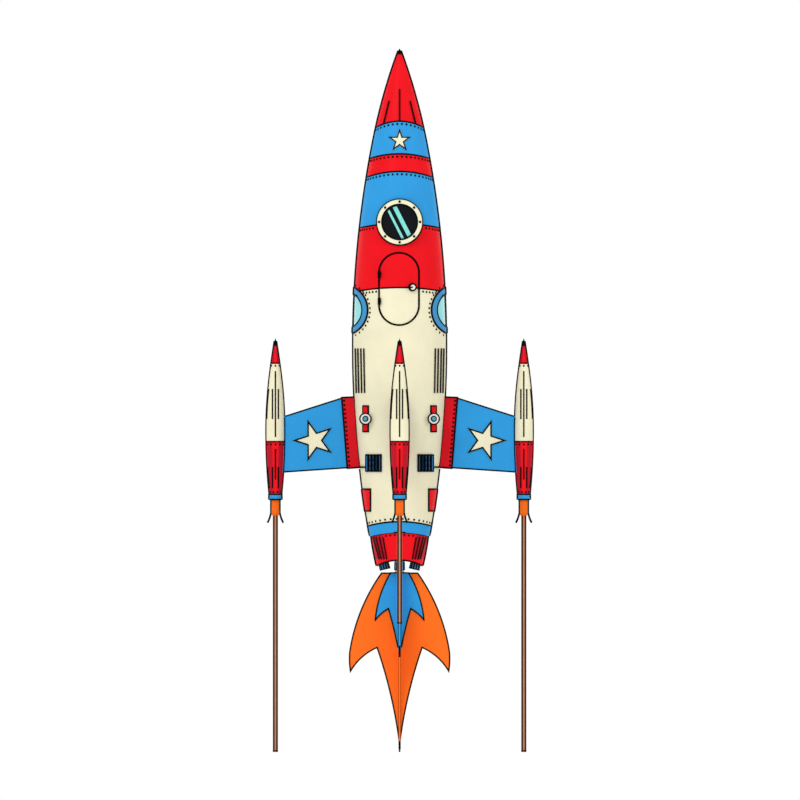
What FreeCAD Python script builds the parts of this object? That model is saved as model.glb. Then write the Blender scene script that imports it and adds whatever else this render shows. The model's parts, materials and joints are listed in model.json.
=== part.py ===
import FreeCAD, Part
import math
import os

os.makedirs("parts", exist_ok=True)

# A tin toy rocket that stands on its tail: a pressed tin hull in coloured bands, four fins that each
# carry a slim pod, a sliding landing leg in each pod, and a flat tin flame under the nozzles.
# Millimetres. +Z is up, the front with the hatch faces -Y, and +X is to the right seen from the front.
# The origin is on the floor, on the hull's axis.

# ---- sheet metal and fits ----
TIN = 0.4                 # hull and skirt sheet
POD_TIN = 0.35            # pod sheet
GAP = 0.05                # gap between lapped sheets, and radial clearance of a turning or sliding fit
LAP = 3.0                 # how far a band's tongue reaches up inside the next band
JOGGLE = 2.0              # how far the tongue is fixed below the seam
REACH = 40.0              # half-width of a cutting tool, wider than the hull
SEAM_OVERRUN = 1.0        # how far a seam's arc runs past the hull's silhouette

# ---- hull profile ----
HULL_R = 23.15
HULL_WIDEST_Z = 203.0
HULL_LOWER_BEND = 548.0
HULL_UPPER_BEND = 530.0
HULL_JOIN_Z = 307.0       # where the upper arc passes into the nose arc
HULL_TIP_Z = 351.2
HULL_CUT_Z = 100.0        # below the lowest hull band
TIP_FLAT_R = 0.3          # blunt end of the hull's and pods' tips

# ---- seams between bands: height at the front centre, height at the silhouette ----
SEAM_NOSE = (315.45, 312.3)
SEAM_STAR = (299.1, 296.8)
SEAM_RED = (290.3, 287.4)
SEAM_UPPER = (264.2, 262.1)
SEAM_CABIN = (232.25, 230.15)
SEAM_MAIN = (115.2, 113.1)
SEAM_RING = (109.8, 107.8)

# ---- pressed ribs ----
RIB_PROUD = 0.35
NOSE_RIB_WIDTH = 0.8
NOSE_RIBS = (((0.0, 331.5), (0.0, 315.6)), ((5.3, 325.5), (8.05, 314.3)), ((-5.3, 325.5), (-8.05, 314.3)))

# ---- porthole, a round frame that leans back with the hull ----
PORTHOLE_Z = 264.9
PORTHOLE_LEAN = 7.0
BEZEL_R = 11.75
BEZEL_WALL = 0.7
BEZEL_PROUD = 1.0
BEZEL_FLANGE = 0.8
BEZEL_DEPTH = 5.5
PORTHOLE_R = 8.8
GLASS_R = 10.2
GLASS_THICK = 1.0
SCREW_CIRCLE_R = 10.25
SCREW_COUNT = 8
SCREW_HEAD_R = 0.6
SCREW_HEAD_HEIGHT = 0.35
SCREW_SHANK_R = 0.35

# ---- side windows: circles seen from the front, centred outside the silhouette ----
WINDOW_X = 28.9
WINDOW_Z = 221.0
WINDOW_FRAME_R = 13.0
WINDOW_FRAME_INNER_R = 9.9
WINDOW_OPENING_R = 10.2
WINDOW_FRAME_PROUD = 0.35
PANE_MARGIN = 0.05
PANE_INSET = 0.02

# ---- hatch ----
HATCH_X = -0.3
HATCH_HALF_WIDTH = 9.78
HATCH_LOW_Z = 213.65
HATCH_HIGH_Z = 249.45
HATCH_GAP = 0.35
HATCH_REBATE = 1.4
HATCH_FRAME_MARGIN = 2.6
HINGE_X = -10.2
HINGE_STANDOFF = 1.1
HINGE_CENTRES_Z = (225.35, 238.75)
KNUCKLE_R = 0.8
KNUCKLE_HALF = 0.55
HINGE_HALF = 1.65
KNUCKLE_SPLIT = 0.6
HINGE_PIN_R = 0.4
PIN_HEAD_R = 0.6
PIN_HEAD_HEIGHT = 0.2
HINGE_FOOT_DEPTH = 1.8
HINGE_RELIEF = 1.6        # how far the frame behind the door stays clear of the hinge line
HULL_FOOT = (-0.8, -0.3)
DOOR_FOOT = (0.25, 0.95)

# ---- hatch knob and its latch dog ----
KNOB_X = 6.2
KNOB_Z = 232.4
KNOB_R = 2.1
KNOB_LOW = 0.35
KNOB_HIGH = 1.6
KNOB_CHAMFER = 0.3
SPINDLE_R = 0.6
SPINDLE_DEPTH = 2.5
POINTER_WIDTH = 0.4
POINTER_DEPTH = 0.25
LATCH_TOP = -1.8
LATCH_THICK = 0.5
LATCH_WIDTH = 1.6
LATCH_LENGTH = 4.2

# ---- trim pressed onto the hull ----
LOUVRE_X = (18.0, 19.5, 21.0, 22.3)
LOUVRE_Z = (179.5, 201.8)
LOUVRE_WIDTH = 0.7
LAMP_X = 17.1
LAMP_Z = 166.6
LAMP_R = 3.15
LAMP_FRONT_Y = -19.0
LAMP_BACK_Y = -8.0
LAMP_ROUNDING = 0.4
LENS_R = 1.2
LENS_SEAT_DEPTH = 1.2
LENS_DOME = 0.5
STRAP_HALF_WIDTH = 1.45
STRAP_Z = (160.0, 173.2)
STRAP_PROUD = 0.4
GRILLE_X = (9.3, 17.1)
GRILLE_Z = (140.2, 148.7)
GRILLE_PROUD = 0.6
GRILLE_SLOT_DEPTH = 0.3
GRILLE_SLOT_WIDTH = 0.5
GRILLE_SLOTS = 4
PIPE_Z = 142.4
PIPE_HALF_WIDTH = 0.4
PIPE_PROUD = 0.7
PANEL_X = 14.5
PANEL_Z = (120.3, 131.6)
PANEL_PROUD = 0.3

# ---- stars ----
STAR_POINTS = 5
STAR_INNER_RATIO = 0.382
STAR_PROUD = 0.35
BAND_STAR_Z = 305.75
BAND_STAR_R = 6.3

# ---- tail skirt, bulkhead and nozzles ----
SKIRT_TOP = (14.3, 109.5)
SKIRT_MIDDLE = (13.05, 101.0)
SKIRT_FOOT = (11.1, 92.0)
SKIRT_SEAM = (95.5, 92.8)
SKIRT_LIP_R = 15.1
SKIRT_LIP_TOP_Z = 111.0
SKIRT_RIB_TOPS_X = (8.4, 10.2, 12.0, 13.4)
SKIRT_RIB_TAPER = 0.77
SKIRT_RIB_Z = (96.3, 107.4)
SKIRT_RIB_WIDTH = 0.6
BULKHEAD_Z = (96.5, 97.3)
NOZZLE_CIRCLE_R = 8.3
NOZZLE_LEAN = 13.0
NOZZLE_TOP_Z = 95.8
NOZZLE_HEIGHT = 4.7
NOZZLE_TOP_R = 2.45
NOZZLE_MOUTH_R = 2.6
NOZZLE_WALL = 0.4
NOZZLE_CROWN = 0.8
NOZZLE_NECK_R = 0.9
NOZZLE_NECK_HEIGHT = 2.2
NOZZLE_HOLE_R = 1.4

# ---- flame: half outlines in (distance from the axis, height) ----
FLAME_TIN = 0.8
FLAME_TOP = (9.2, 89.7)
FLAME_SIDE = (18.8, 72.6)
FLAME_SHOULDER = (25.2, 50.0)
FLAME_TAIL_MIDDLE = (25.3, 45.0)
FLAME_TAIL_TIP = (24.7, 39.6)
FLAME_NOTCH_MIDDLE = (17.0, 48.6)
FLAME_NOTCH = (11.4, 51.9)
FLAME_SPIKE_MIDDLE = (4.8, 29.0)
FLAME_TIP_Z = 1.75
DEEP_TAIL_MIDDLE = (31.6, 22.0)
DEEP_FOOT_INNER = (33.3, 0.0)
DEEP_FOOT_OUTER = (34.9, 0.0)
DEEP_NOTCH_MIDDLE = (21.0, 33.0)
TAB_HALF_WIDTH = 2.4
TAB_TOP_Z = 98.0
TAB_SLOT_MARGIN = 0.1
CORE_TIN = 0.3
CORE_TOP = (4.5, 89.7)
CORE_SIDE = (10.0, 77.5)
CORE_TAIL_TIP = (12.25, 65.8)
CORE_NOTCH_MIDDLE = (8.6, 69.6)
CORE_NOTCH = (5.65, 71.6)
CORE_SPIKE_MIDDLE = (2.6, 60.0)
CORE_TIP_Z = 46.9

# ---- pods ----
POD_X = 62.1
POD_R = 4.5
POD_WIDEST_Z = 160.0
POD_LOWER_BEND = 310.0
POD_UPPER_BEND = 235.0
POD_JOIN_Z = 190.0
POD_NOSE_Z = 194.4
POD_TIP_Z = 205.8
POD_TAIL_Z = 155.2
POD_COLLAR_Z = 128.8
POD_FOOT_Z = 126.0
POD_LAP = 2.0
POD_JOGGLE = 1.0
POD_RIBS = (((0.0, 157.5), (0.0, 190.5)), ((1.5, 166.5), (1.5, 181.5)), ((-1.5, 166.5), (-1.5, 181.5)))
TAIL_RIBS = (((0.0, 136.3), (0.0, 151.5)), ((1.5, 132.0), (1.5, 142.5)), ((-1.5, 132.0), (-1.5, 142.5)))
POD_RIB_WIDTH = 0.7
POD_RIB_PROUD = 0.2
COLLAR_PROUD = 0.15

# ---- pod exhausts and landing legs ----
EXHAUST_R = 2.2
EXHAUST_TOP_Z = 128.0
EXHAUST_SEAT_Z = 126.05   # the leg's stop head rests here when the leg is all the way out
EXHAUST_CONE_Z = 119.4
EXHAUST_MOUTH = (1.65, 118.2)
SPUR_OUTER = ((2.2, 120.2), (2.9, 117.4), (4.05, 114.5))
SPUR_INNER = ((4.05, 114.5), (2.5, 117.5), (1.75, 118.9))
SPUR_THICK = 0.5
LEG_R = 1.3
LEG_TOP_Z = 127.5
LEG_HEAD_R = 1.75
LEG_HEAD_LOW_Z = 126.1
LEG_EDGE = 0.2
LEG_STROKE = 64.0

# ---- fins, drawn for the one that points along -X ----
FIN_HALF_THICK = 1.4
FIN_TIN = 0.4
FIN_LEADING_ROOT = (-28.9, 177.2)
FIN_LEADING_TIP = (-59.0, 167.56)
FIN_TRAILING_TIP = (-59.0, 139.69)
FIN_TRAILING_ROOT = (-26.1, 141.9)
ROOT_TOP_INNER = (-20.0, 177.6)
ROOT_LOW_INNER = (-17.5, 142.5)
ROOT_PLATE_TIN = 0.4
FIN_STAR = (-42.7, 155.8)
FIN_STAR_R = 11.1
HULL_TAB_Z = (150.0, 170.0)
POD_TAB_Z = (146.0, 161.0)
TAB_HALF_HEIGHT = 2.5
TAB_HALF_THICK = 0.4
HULL_TAB_X = (-25.0, -19.5)
POD_TAB_X = (-58.8, -56.0)
RIVET_COUNT = 16
RIVET_R = 0.55
RIVET_HEIGHT = 0.35
RIVET_TOP = (-27.75, 175.6)
RIVET_LOW = (-25.1, 143.3)

QUARTER_TURNS = {"left": 0, "rear": -90, "right": 180, "front": 90}


def vec(x, y, z):
    return FreeCAD.Vector(x, y, z)


AXIS_Z = vec(0, 0, 1)
AXIS_Y = vec(0, 1, 0)
CENTRE = vec(0, 0, 0)


def flat(point):
    """A point given as (x, z), placed in the plane y = 0."""
    return vec(point[0], 0, point[1])


def line(a, b):
    return Part.LineSegment(a, b).toShape()


def arc(a, b, c):
    return Part.Arc(a, b, c).toShape()


def through(edges):
    """A prism right through the object along Y, from a closed outline drawn in the plane y = 0."""
    face = Part.Face(Part.Wire(Part.__sortEdges__(edges)))
    prism = face.extrude(vec(0, 2 * REACH, 0))
    prism.translate(vec(0, -REACH, 0))
    return prism


def polygon_edges(points):
    corners = [flat(point) for point in points]
    return [line(a, b) for a, b in zip(corners, corners[1:] + corners[:1])]


def rectangle(low_x, high_x, low_z, high_z):
    """A rectangular prism through the object along Y."""
    return through(polygon_edges([(low_x, low_z), (high_x, low_z), (high_x, high_z), (low_x, high_z)]))


def disc(x, z, radius):
    """A round prism through the object along Y."""
    return Part.makeCylinder(radius, 2 * REACH, vec(x, -REACH, z), AXIS_Y)


def strip(start, end, width):
    """A narrow prism through the object along Y, on the line from start to end."""
    run = flat(end) - flat(start)
    side = vec(run.z, 0, -run.x).normalize() * (width / 2)
    corners = [flat(start) + side, flat(end) + side, flat(end) - side, flat(start) - side]
    return through([line(a, b) for a, b in zip(corners, corners[1:] + corners[:1])])


def star(x, z, radius, tip_angle):
    """A five-pointed star prism through the object along Y, with one tip at the given angle."""
    points = []
    for step in range(2 * STAR_POINTS):
        reach = radius if step % 2 == 0 else radius * STAR_INNER_RATIO
        angle = math.radians(tip_angle + step * 180.0 / STAR_POINTS)
        points.append((x + reach * math.cos(angle), z + reach * math.sin(angle)))
    return through(polygon_edges(points))


def front_half(shape):
    """The part of a shape with y below zero."""
    keep = Part.makeBox(2 * REACH, REACH, HULL_TIP_Z, vec(-REACH, -REACH, 0))
    return shape.common(keep)


def revolve(points):
    """A solid of revolution about Z from a closed outline of (radius, height) points."""
    return Part.Face(Part.Wire(polygon_edges(points))).revolve(CENTRE, AXIS_Z, 360)


def both_sides(shape):
    """A shape and its mirror image across the plane x = 0."""
    return [shape, shape.mirror(CENTRE, vec(1, 0, 0))]


def solids(shapes):
    """All the separate solids in a list of shapes, as one compound."""
    return Part.makeCompound([solid for shape in shapes for solid in shape.Solids])


def turned(shape, degrees):
    copy = shape.copy()
    copy.rotate(CENTRE, AXIS_Z, degrees)
    return copy


class Profile:
    """A body of revolution whose side is three arcs that run smoothly into each other.

    A lower and an upper arc meet upright at the widest height, and a nose arc carries on from the
    upper one to a blunt tip. An offset grows the whole body outward, or inward if negative.
    """

    def __init__(self, widest, widest_z, lower_bend, upper_bend, join_z, tip_z):
        self.widest = widest
        self.widest_z = widest_z
        self.lower_bend = lower_bend
        self.upper_bend = upper_bend
        rise = join_z - widest_z
        run = math.sqrt(upper_bend ** 2 - rise ** 2)
        self.normal = (run / upper_bend, rise / upper_bend)
        join_r = widest - upper_bend + run
        to_tip = (TIP_FLAT_R - join_r, tip_z - join_z)
        along = to_tip[0] * self.normal[0] + to_tip[1] * self.normal[1]
        self.nose_bend = -(to_tip[0] ** 2 + to_tip[1] ** 2) / (2 * along)
        self.nose_centre = (join_r - self.normal[0] * self.nose_bend, join_z - self.normal[1] * self.nose_bend)
        self.outer_join_z = join_z

    def join_z(self, offset):
        return self.outer_join_z + self.normal[1] * offset

    def tip_z(self, offset):
        run = TIP_FLAT_R - self.nose_centre[0]
        return self.nose_centre[1] + math.sqrt((self.nose_bend + offset) ** 2 - run ** 2)

    def radius(self, z, offset=0.0):
        if z > self.join_z(offset):
            side = (self.nose_bend + offset) ** 2 - (z - self.nose_centre[1]) ** 2
            return self.nose_centre[0] + math.sqrt(side)
        bend = (self.lower_bend if z < self.widest_z else self.upper_bend) + offset
        return self.widest + offset - bend + math.sqrt(bend ** 2 - (z - self.widest_z) ** 2)

    def solid(self, offset, low_z):
        """The whole body above low_z."""
        tip_z = self.tip_z(offset)
        heights = [low_z, self.widest_z, self.join_z(offset), tip_z]
        edges = [line(vec(0, 0, low_z), vec(self.radius(low_z, offset), 0, low_z))]
        for low, high in zip(heights, heights[1:]):
            points = [vec(self.radius(z, offset), 0, z) for z in (low, (low + high) / 2, high)]
            edges.append(arc(*points))
        edges.append(line(points[2], vec(0, 0, tip_z)))
        edges.append(line(vec(0, 0, tip_z), vec(0, 0, low_z)))
        return Part.Face(Part.Wire(edges)).revolve(CENTRE, AXIS_Z, 360)


HULL = Profile(HULL_R, HULL_WIDEST_Z, HULL_LOWER_BEND, HULL_UPPER_BEND, HULL_JOIN_Z, HULL_TIP_Z)
POD = Profile(POD_R, POD_WIDEST_Z, POD_LOWER_BEND, POD_UPPER_BEND, POD_JOIN_Z, POD_TIP_Z)


def hull_solid(offset):
    return HULL.solid(offset, HULL_CUT_Z)


def hull_skin(inner, outer):
    """A layer of the hull between two offsets from its outer surface."""
    return hull_solid(outer).cut(hull_solid(inner))


OUTER_SKIN = hull_skin(-TIN, 0.0)
TONGUE_SKIN = hull_skin(-TIN - GAP - TIN, -TIN - GAP)
JOGGLE_SKIN = hull_skin(-TIN - GAP - TIN, -TIN / 2)
HULL_BODY = hull_solid(0.0)


def seam_edges(seam, shift):
    """A seam seen from the front: an arc over the hull, with level ends beyond the silhouette."""
    centre_z, side_z = seam
    silhouette = HULL.radius(side_z) if side_z > HULL_CUT_Z else SKIRT_FOOT[0]
    rise = centre_z - side_z
    bend = (silhouette ** 2 + rise ** 2) / (2 * rise)
    end_x = silhouette + SEAM_OVERRUN
    end_z = centre_z - bend + math.sqrt(bend ** 2 - end_x ** 2) + shift
    left = vec(-end_x, 0, end_z)
    right = vec(end_x, 0, end_z)
    far_left = vec(-REACH, 0, end_z)
    far_right = vec(REACH, 0, end_z)
    crown = vec(0, 0, centre_z + shift)
    return [line(far_left, left), arc(left, crown, right), line(right, far_right)], far_left, far_right


def slab(low_seam, high_seam, low_shift=0.0, high_shift=0.0):
    """Everything between two seams."""
    low_edges, low_left, low_right = seam_edges(low_seam, low_shift)
    high_edges, high_left, high_right = seam_edges(high_seam, high_shift)
    return through(low_edges + high_edges + [line(low_left, high_left), line(low_right, high_right)])


def above(seam):
    edges, left, right = seam_edges(seam, 0.0)
    top_left = vec(-REACH, 0, HULL_TIP_Z + LAP)
    top_right = vec(REACH, 0, HULL_TIP_Z + LAP)
    return through(edges + [line(left, top_left), line(top_left, top_right), line(top_right, right)])


def band(low_seam, high_seam, tongue_holes=()):
    """One hull band with the tongue that reaches up inside the next band."""
    shell = OUTER_SKIN.common(slab(low_seam, high_seam))
    tongue = TONGUE_SKIN.common(slab(high_seam, high_seam, -JOGGLE, LAP))
    joggle = JOGGLE_SKIN.common(slab(high_seam, high_seam, -JOGGLE, 0.0))
    lap = tongue.fuse(joggle)
    for hole in tongue_holes:
        lap = lap.cut(hole)
    return shell.fuse(lap)


def stadium(grow):
    """The hatch's outline, grown all round, as a prism through the front of the hull."""
    half = HATCH_HALF_WIDTH + grow
    low = HATCH_LOW_Z + HATCH_HALF_WIDTH
    high = HATCH_HIGH_Z - HATCH_HALF_WIDTH
    edges = [
        line(vec(-half, 0, low), vec(-half, 0, high)),
        arc(vec(-half, 0, high), vec(0, 0, high + half), vec(half, 0, high)),
        line(vec(half, 0, high), vec(half, 0, low)),
        arc(vec(half, 0, low), vec(0, 0, low - half), vec(-half, 0, low)),
    ]
    return front_half(through(edges).translated(vec(HATCH_X, 0, 0)))


def surface_point(x, z):
    """The point of the hull's front surface at x and z."""
    return vec(x, -math.sqrt(HULL.radius(z) ** 2 - x ** 2), z)


# ---- places on the hull ----
PORTHOLE_NORMAL = vec(0, -math.cos(math.radians(PORTHOLE_LEAN)), math.sin(math.radians(PORTHOLE_LEAN)))
PORTHOLE_PLACE = FreeCAD.Placement(surface_point(0, PORTHOLE_Z), FreeCAD.Rotation(AXIS_Z, PORTHOLE_NORMAL))
KNOB_POINT = surface_point(KNOB_X, KNOB_Z)
KNOB_NORMAL = vec(KNOB_POINT.x, KNOB_POINT.y, 0).normalize()
KNOB_LEFT = AXIS_Z.cross(KNOB_NORMAL) * -1
KNOB_PLACE = FreeCAD.Placement(KNOB_POINT, FreeCAD.Rotation(KNOB_LEFT, AXIS_Z, KNOB_NORMAL, "ZXY"))
HINGE_POINTS = [surface_point(HINGE_X, z) - vec(0, HINGE_STANDOFF, 0) for z in HINGE_CENTRES_Z]
HINGE_UP = (HINGE_POINTS[1] - HINGE_POINTS[0]).normalize()
HINGE_PLACES = [FreeCAD.Placement(point, FreeCAD.Rotation(AXIS_Z, HINGE_UP)) for point in HINGE_POINTS]


def placed(shape, placement):
    copy = shape.copy()
    copy.Placement = placement.multiply(shape.Placement)
    return copy


def cylinder(radius, low, high):
    return Part.makeCylinder(radius, high - low, vec(0, 0, low))


def tube(outer, inner, low, high):
    return cylinder(outer, low, high).cut(cylinder(inner, low, high))


# ---- hull bands ----
WINDOW_HOLES = both_sides(disc(WINDOW_X, WINDOW_Z, WINDOW_OPENING_R))
PORTHOLE_HOLE = placed(cylinder(BEZEL_R + GAP, -BEZEL_DEPTH, BEZEL_DEPTH), PORTHOLE_PLACE)
HATCH_OPENING = stadium(HATCH_GAP)
HATCH_CLEARANCE = stadium(HATCH_FRAME_MARGIN + HATCH_GAP)


def cut_all(shape, tools):
    for tool in tools:
        shape = shape.cut(tool)
    return shape


def nose_cone():
    shell = OUTER_SKIN.common(above(SEAM_NOSE))
    rib_layer = hull_skin(-TIN / 2, RIB_PROUD)
    ribs = [rib_layer.common(strip(start, end, NOSE_RIB_WIDTH)) for start, end in NOSE_RIBS]
    return shell.fuse(ribs)


def star_band():
    return band(SEAM_STAR, SEAM_NOSE)


def red_band():
    return band(SEAM_RED, SEAM_STAR)


def upper_shell():
    return band(SEAM_UPPER, SEAM_RED).cut(PORTHOLE_HOLE)


def cabin_shell():
    return cut_all(band(SEAM_CABIN, SEAM_UPPER), [PORTHOLE_HOLE, HATCH_OPENING] + WINDOW_HOLES)


def main_shell():
    shell = band(SEAM_MAIN, SEAM_CABIN, [HATCH_CLEARANCE])
    return cut_all(shell, [HATCH_OPENING] + WINDOW_HOLES + hull_tab_slots())


def tail_ring():
    return band(SEAM_RING, SEAM_MAIN)


def skirt_solid(offset):
    """The tail skirt as a filled body, grown sideways by offset."""
    points = [vec(radius + offset, 0, z) for radius, z in (SKIRT_FOOT, SKIRT_MIDDLE, SKIRT_TOP)]
    foot = vec(0, 0, SKIRT_FOOT[1])
    top = vec(0, 0, SKIRT_TOP[1])
    edges = [line(foot, points[0]), arc(*points), line(points[2], top), line(top, foot)]
    return Part.Face(Part.Wire(edges)).revolve(CENTRE, AXIS_Z, 360)


def tail_skirt():
    """The skirt's wall is set in from the ring above it and ends in a lip inside that ring."""
    trim = slab(SKIRT_SEAM, SEAM_MAIN)
    wall = skirt_solid(0.0).cut(skirt_solid(-TIN)).common(trim)
    lip_low_z = SKIRT_TOP[1] - TIN
    lip = tube(SKIRT_LIP_R, SKIRT_TOP[0] - TIN, lip_low_z, SKIRT_LIP_TOP_Z).common(hull_solid(-TIN - GAP))
    rib_layer = skirt_solid(RIB_PROUD).cut(skirt_solid(-TIN / 2))
    ribs = []
    for top_x in SKIRT_RIB_TOPS_X:
        foot_x = top_x * SKIRT_RIB_TAPER
        rib = rib_layer.common(strip((foot_x, SKIRT_RIB_Z[0]), (top_x, SKIRT_RIB_Z[1]), SKIRT_RIB_WIDTH))
        ribs += both_sides(rib)
    return wall.fuse([lip] + ribs)


def tail_bulkhead():
    low, high = BULKHEAD_Z
    plate = skirt_solid(-TIN).common(cylinder(SKIRT_LIP_R, low, high))
    half = TAB_HALF_WIDTH + TAB_SLOT_MARGIN
    thick = FLAME_TIN / 2 + TAB_SLOT_MARGIN
    slot = Part.makeBox(2 * half, 2 * thick, TAB_TOP_Z, vec(-half, -thick, 0))
    holes = [slot, turned(slot, 90)]
    for quarter in range(4):
        hole = cylinder(NOZZLE_HOLE_R, low, high)
        hole.translate(vec(NOZZLE_CIRCLE_R, 0, 0))
        holes.append(turned(hole, 90 * quarter))
    return cut_all(plate, holes)


def engine_nozzles():
    """Four bells that lean in with the skirt, each hung by a neck in the bulkhead."""
    low = -NOZZLE_HEIGHT
    bell = revolve([
        (0, 0), (NOZZLE_TOP_R, 0), (NOZZLE_MOUTH_R, low), (NOZZLE_MOUTH_R - NOZZLE_WALL, low),
        (NOZZLE_TOP_R - NOZZLE_WALL, -NOZZLE_CROWN), (0, -NOZZLE_CROWN),
    ])
    nozzle = bell.fuse(cylinder(NOZZLE_NECK_R, -NOZZLE_CROWN / 2, NOZZLE_NECK_HEIGHT))
    nozzle.rotate(CENTRE, AXIS_Y, NOZZLE_LEAN)
    nozzle.translate(vec(NOZZLE_CIRCLE_R, 0, NOZZLE_TOP_Z))
    return solids([turned(nozzle, 90 * quarter) for quarter in range(4)])


# ---- flame ----
def mirrored_edges(curves):
    """Edges for a symmetric outline: each curve is 2 or 3 points of its right half."""
    edges = []
    for side in (1, -1):
        for curve in curves:
            points = [vec(side * x, 0, z) for x, z in curve]
            edges.append(arc(*points) if len(points) == 3 else line(*points))
    return edges


def sheet(edges, thickness, low_y):
    """A flat sheet in the plane of X and Z, from low_y towards +Y."""
    face = Part.Face(Part.Wire(Part.__sortEdges__(edges)))
    plate = face.extrude(vec(0, thickness, 0))
    plate.translate(vec(0, low_y, 0))
    return plate


def flame_sheet(tail_curves):
    top_centre = (0, FLAME_TOP[1])
    spike = (FLAME_NOTCH, FLAME_SPIKE_MIDDLE, (0, FLAME_TIP_Z))
    curves = [(top_centre, FLAME_TOP)] + tail_curves + [spike]
    plate = sheet(mirrored_edges(curves), FLAME_TIN, -FLAME_TIN / 2)
    tab_height = TAB_TOP_Z - FLAME_TOP[1]
    tab = Part.makeBox(2 * TAB_HALF_WIDTH, FLAME_TIN, tab_height, vec(-TAB_HALF_WIDTH, -FLAME_TIN / 2, FLAME_TOP[1]))
    return plate.fuse(tab)


def flame_plate_wide():
    return flame_sheet([
        (FLAME_TOP, FLAME_SIDE, FLAME_SHOULDER),
        (FLAME_SHOULDER, FLAME_TAIL_MIDDLE, FLAME_TAIL_TIP),
        (FLAME_TAIL_TIP, FLAME_NOTCH_MIDDLE, FLAME_NOTCH),
    ])


def flame_plate_deep():
    """Two half flames that meet the wide plate's faces; their long tails stand on the floor."""
    whole = flame_sheet([
        (FLAME_TOP, FLAME_SIDE, FLAME_SHOULDER),
        (FLAME_SHOULDER, DEEP_TAIL_MIDDLE, DEEP_FOOT_OUTER),
        (DEEP_FOOT_OUTER, DEEP_FOOT_INNER),
        (DEEP_FOOT_INNER, DEEP_NOTCH_MIDDLE, FLAME_NOTCH),
    ])
    half = FLAME_TIN / 2
    middle = Part.makeBox(2 * half, 2 * REACH, TAB_TOP_Z, vec(-half, -REACH, 0))
    return solids([turned(whole.cut(middle), 90)])


def flame_cores():
    """The blue hearts of the flame, one on each face of each of its four wings."""
    curves = [
        ((0, CORE_TOP[1]), CORE_TOP),
        (CORE_TOP, CORE_SIDE, CORE_TAIL_TIP),
        (CORE_TAIL_TIP, CORE_NOTCH_MIDDLE, CORE_NOTCH),
        (CORE_NOTCH, CORE_SPIKE_MIDDLE, (0, CORE_TIP_Z)),
    ]
    front = sheet(mirrored_edges(curves), CORE_TIN, -FLAME_TIN / 2 - CORE_TIN)
    half = FLAME_TIN / 2 + CORE_TIN
    middle = Part.makeBox(2 * half, 2 * REACH, TAB_TOP_Z, vec(-half, -REACH, 0))
    wings = front.cut(middle)
    return solids([turned(wings, 90 * quarter) for quarter in range(4)])


# ---- porthole ----
def porthole_bezel():
    """A deep cup frame: its wall passes through the hull and its flange holds the glass."""
    flange_back = BEZEL_PROUD - BEZEL_FLANGE
    wall = tube(BEZEL_R, BEZEL_R - BEZEL_WALL, -BEZEL_DEPTH, flange_back)
    flange = tube(BEZEL_R, PORTHOLE_R, flange_back, BEZEL_PROUD)
    bezel = wall.fuse(flange)
    for place in screw_places():
        bezel = bezel.cut(cylinder(SCREW_SHANK_R, flange_back, BEZEL_PROUD).translated(place))
    return placed(bezel, PORTHOLE_PLACE)


def screw_places():
    """Centres of the bezel screws, in the porthole's own plane."""
    places = []
    for step in range(SCREW_COUNT):
        angle = 2 * math.pi * step / SCREW_COUNT
        places.append(vec(SCREW_CIRCLE_R * math.cos(angle), SCREW_CIRCLE_R * math.sin(angle), 0))
    return places


def porthole_glass():
    front = BEZEL_PROUD - BEZEL_FLANGE - GAP
    glass = cylinder(GLASS_R, front - GLASS_THICK, front)
    notches = [cylinder(SCREW_SHANK_R + GAP, front - GLASS_THICK, front).translated(place)
               for place in screw_places()]
    return placed(cut_all(glass, notches), PORTHOLE_PLACE)


def porthole_screws():
    shank = cylinder(SCREW_SHANK_R, BEZEL_PROUD - BEZEL_FLANGE - GLASS_THICK, BEZEL_PROUD)
    head = cylinder(SCREW_HEAD_R, BEZEL_PROUD, BEZEL_PROUD + SCREW_HEAD_HEIGHT)
    screw = head.fuse(shank)
    return solids([placed(screw.translated(place), PORTHOLE_PLACE) for place in screw_places()])


# ---- side windows ----
def side_window_frames():
    layer = hull_skin(0.0, WINDOW_FRAME_PROUD)
    ring = disc(WINDOW_X, WINDOW_Z, WINDOW_FRAME_R).cut(disc(WINDOW_X, WINDOW_Z, WINDOW_FRAME_INNER_R))
    return solids(both_sides(layer.common(ring)))


def side_window_panes():
    layer = hull_skin(-TIN, -PANE_INSET)
    pane = layer.common(disc(WINDOW_X, WINDOW_Z, WINDOW_OPENING_R - PANE_MARGIN))
    return solids(both_sides(pane))


# ---- hatch ----
def hatch_frame():
    """A ring behind the opening that stops the door from swinging in.

    It reaches behind the door all round but at the hinges, where the door's edge swings through.
    """
    ring = stadium(HATCH_FRAME_MARGIN).cut(stadium(-HATCH_REBATE))
    relief = stadium(HATCH_GAP).common(rectangle(-REACH, HINGE_X + HINGE_RELIEF, HATCH_LOW_Z, HATCH_HIGH_Z))
    return TONGUE_SKIN.common(ring.cut(relief))


def hatch_door():
    bore = placed(cylinder(SPINDLE_R + GAP, -SPINDLE_DEPTH, KNOB_HIGH), KNOB_PLACE)
    return OUTER_SKIN.common(stadium(0.0)).cut(bore)


def hinge_foot(span, low, high):
    """A block from a knuckle down to the surface, in the hinge's own frame."""
    width = span[1] - span[0]
    return Part.makeBox(width, HINGE_FOOT_DEPTH, high - low, vec(span[0], 0, low))


def hatch_hinge_leaves():
    """On the hull: the two outer knuckles of each hinge, on feet beside the opening."""
    leaves = []
    for place in HINGE_PLACES:
        for low, high in ((-HINGE_HALF, -KNUCKLE_SPLIT), (KNUCKLE_SPLIT, HINGE_HALF)):
            knuckle = cylinder(KNUCKLE_R, low, high).fuse(hinge_foot(HULL_FOOT, low, high))
            leaf = placed(knuckle.cut(cylinder(HINGE_PIN_R, low, high)), place)
            leaves.append(leaf.cut(HULL_BODY))
    return solids(leaves)


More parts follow.
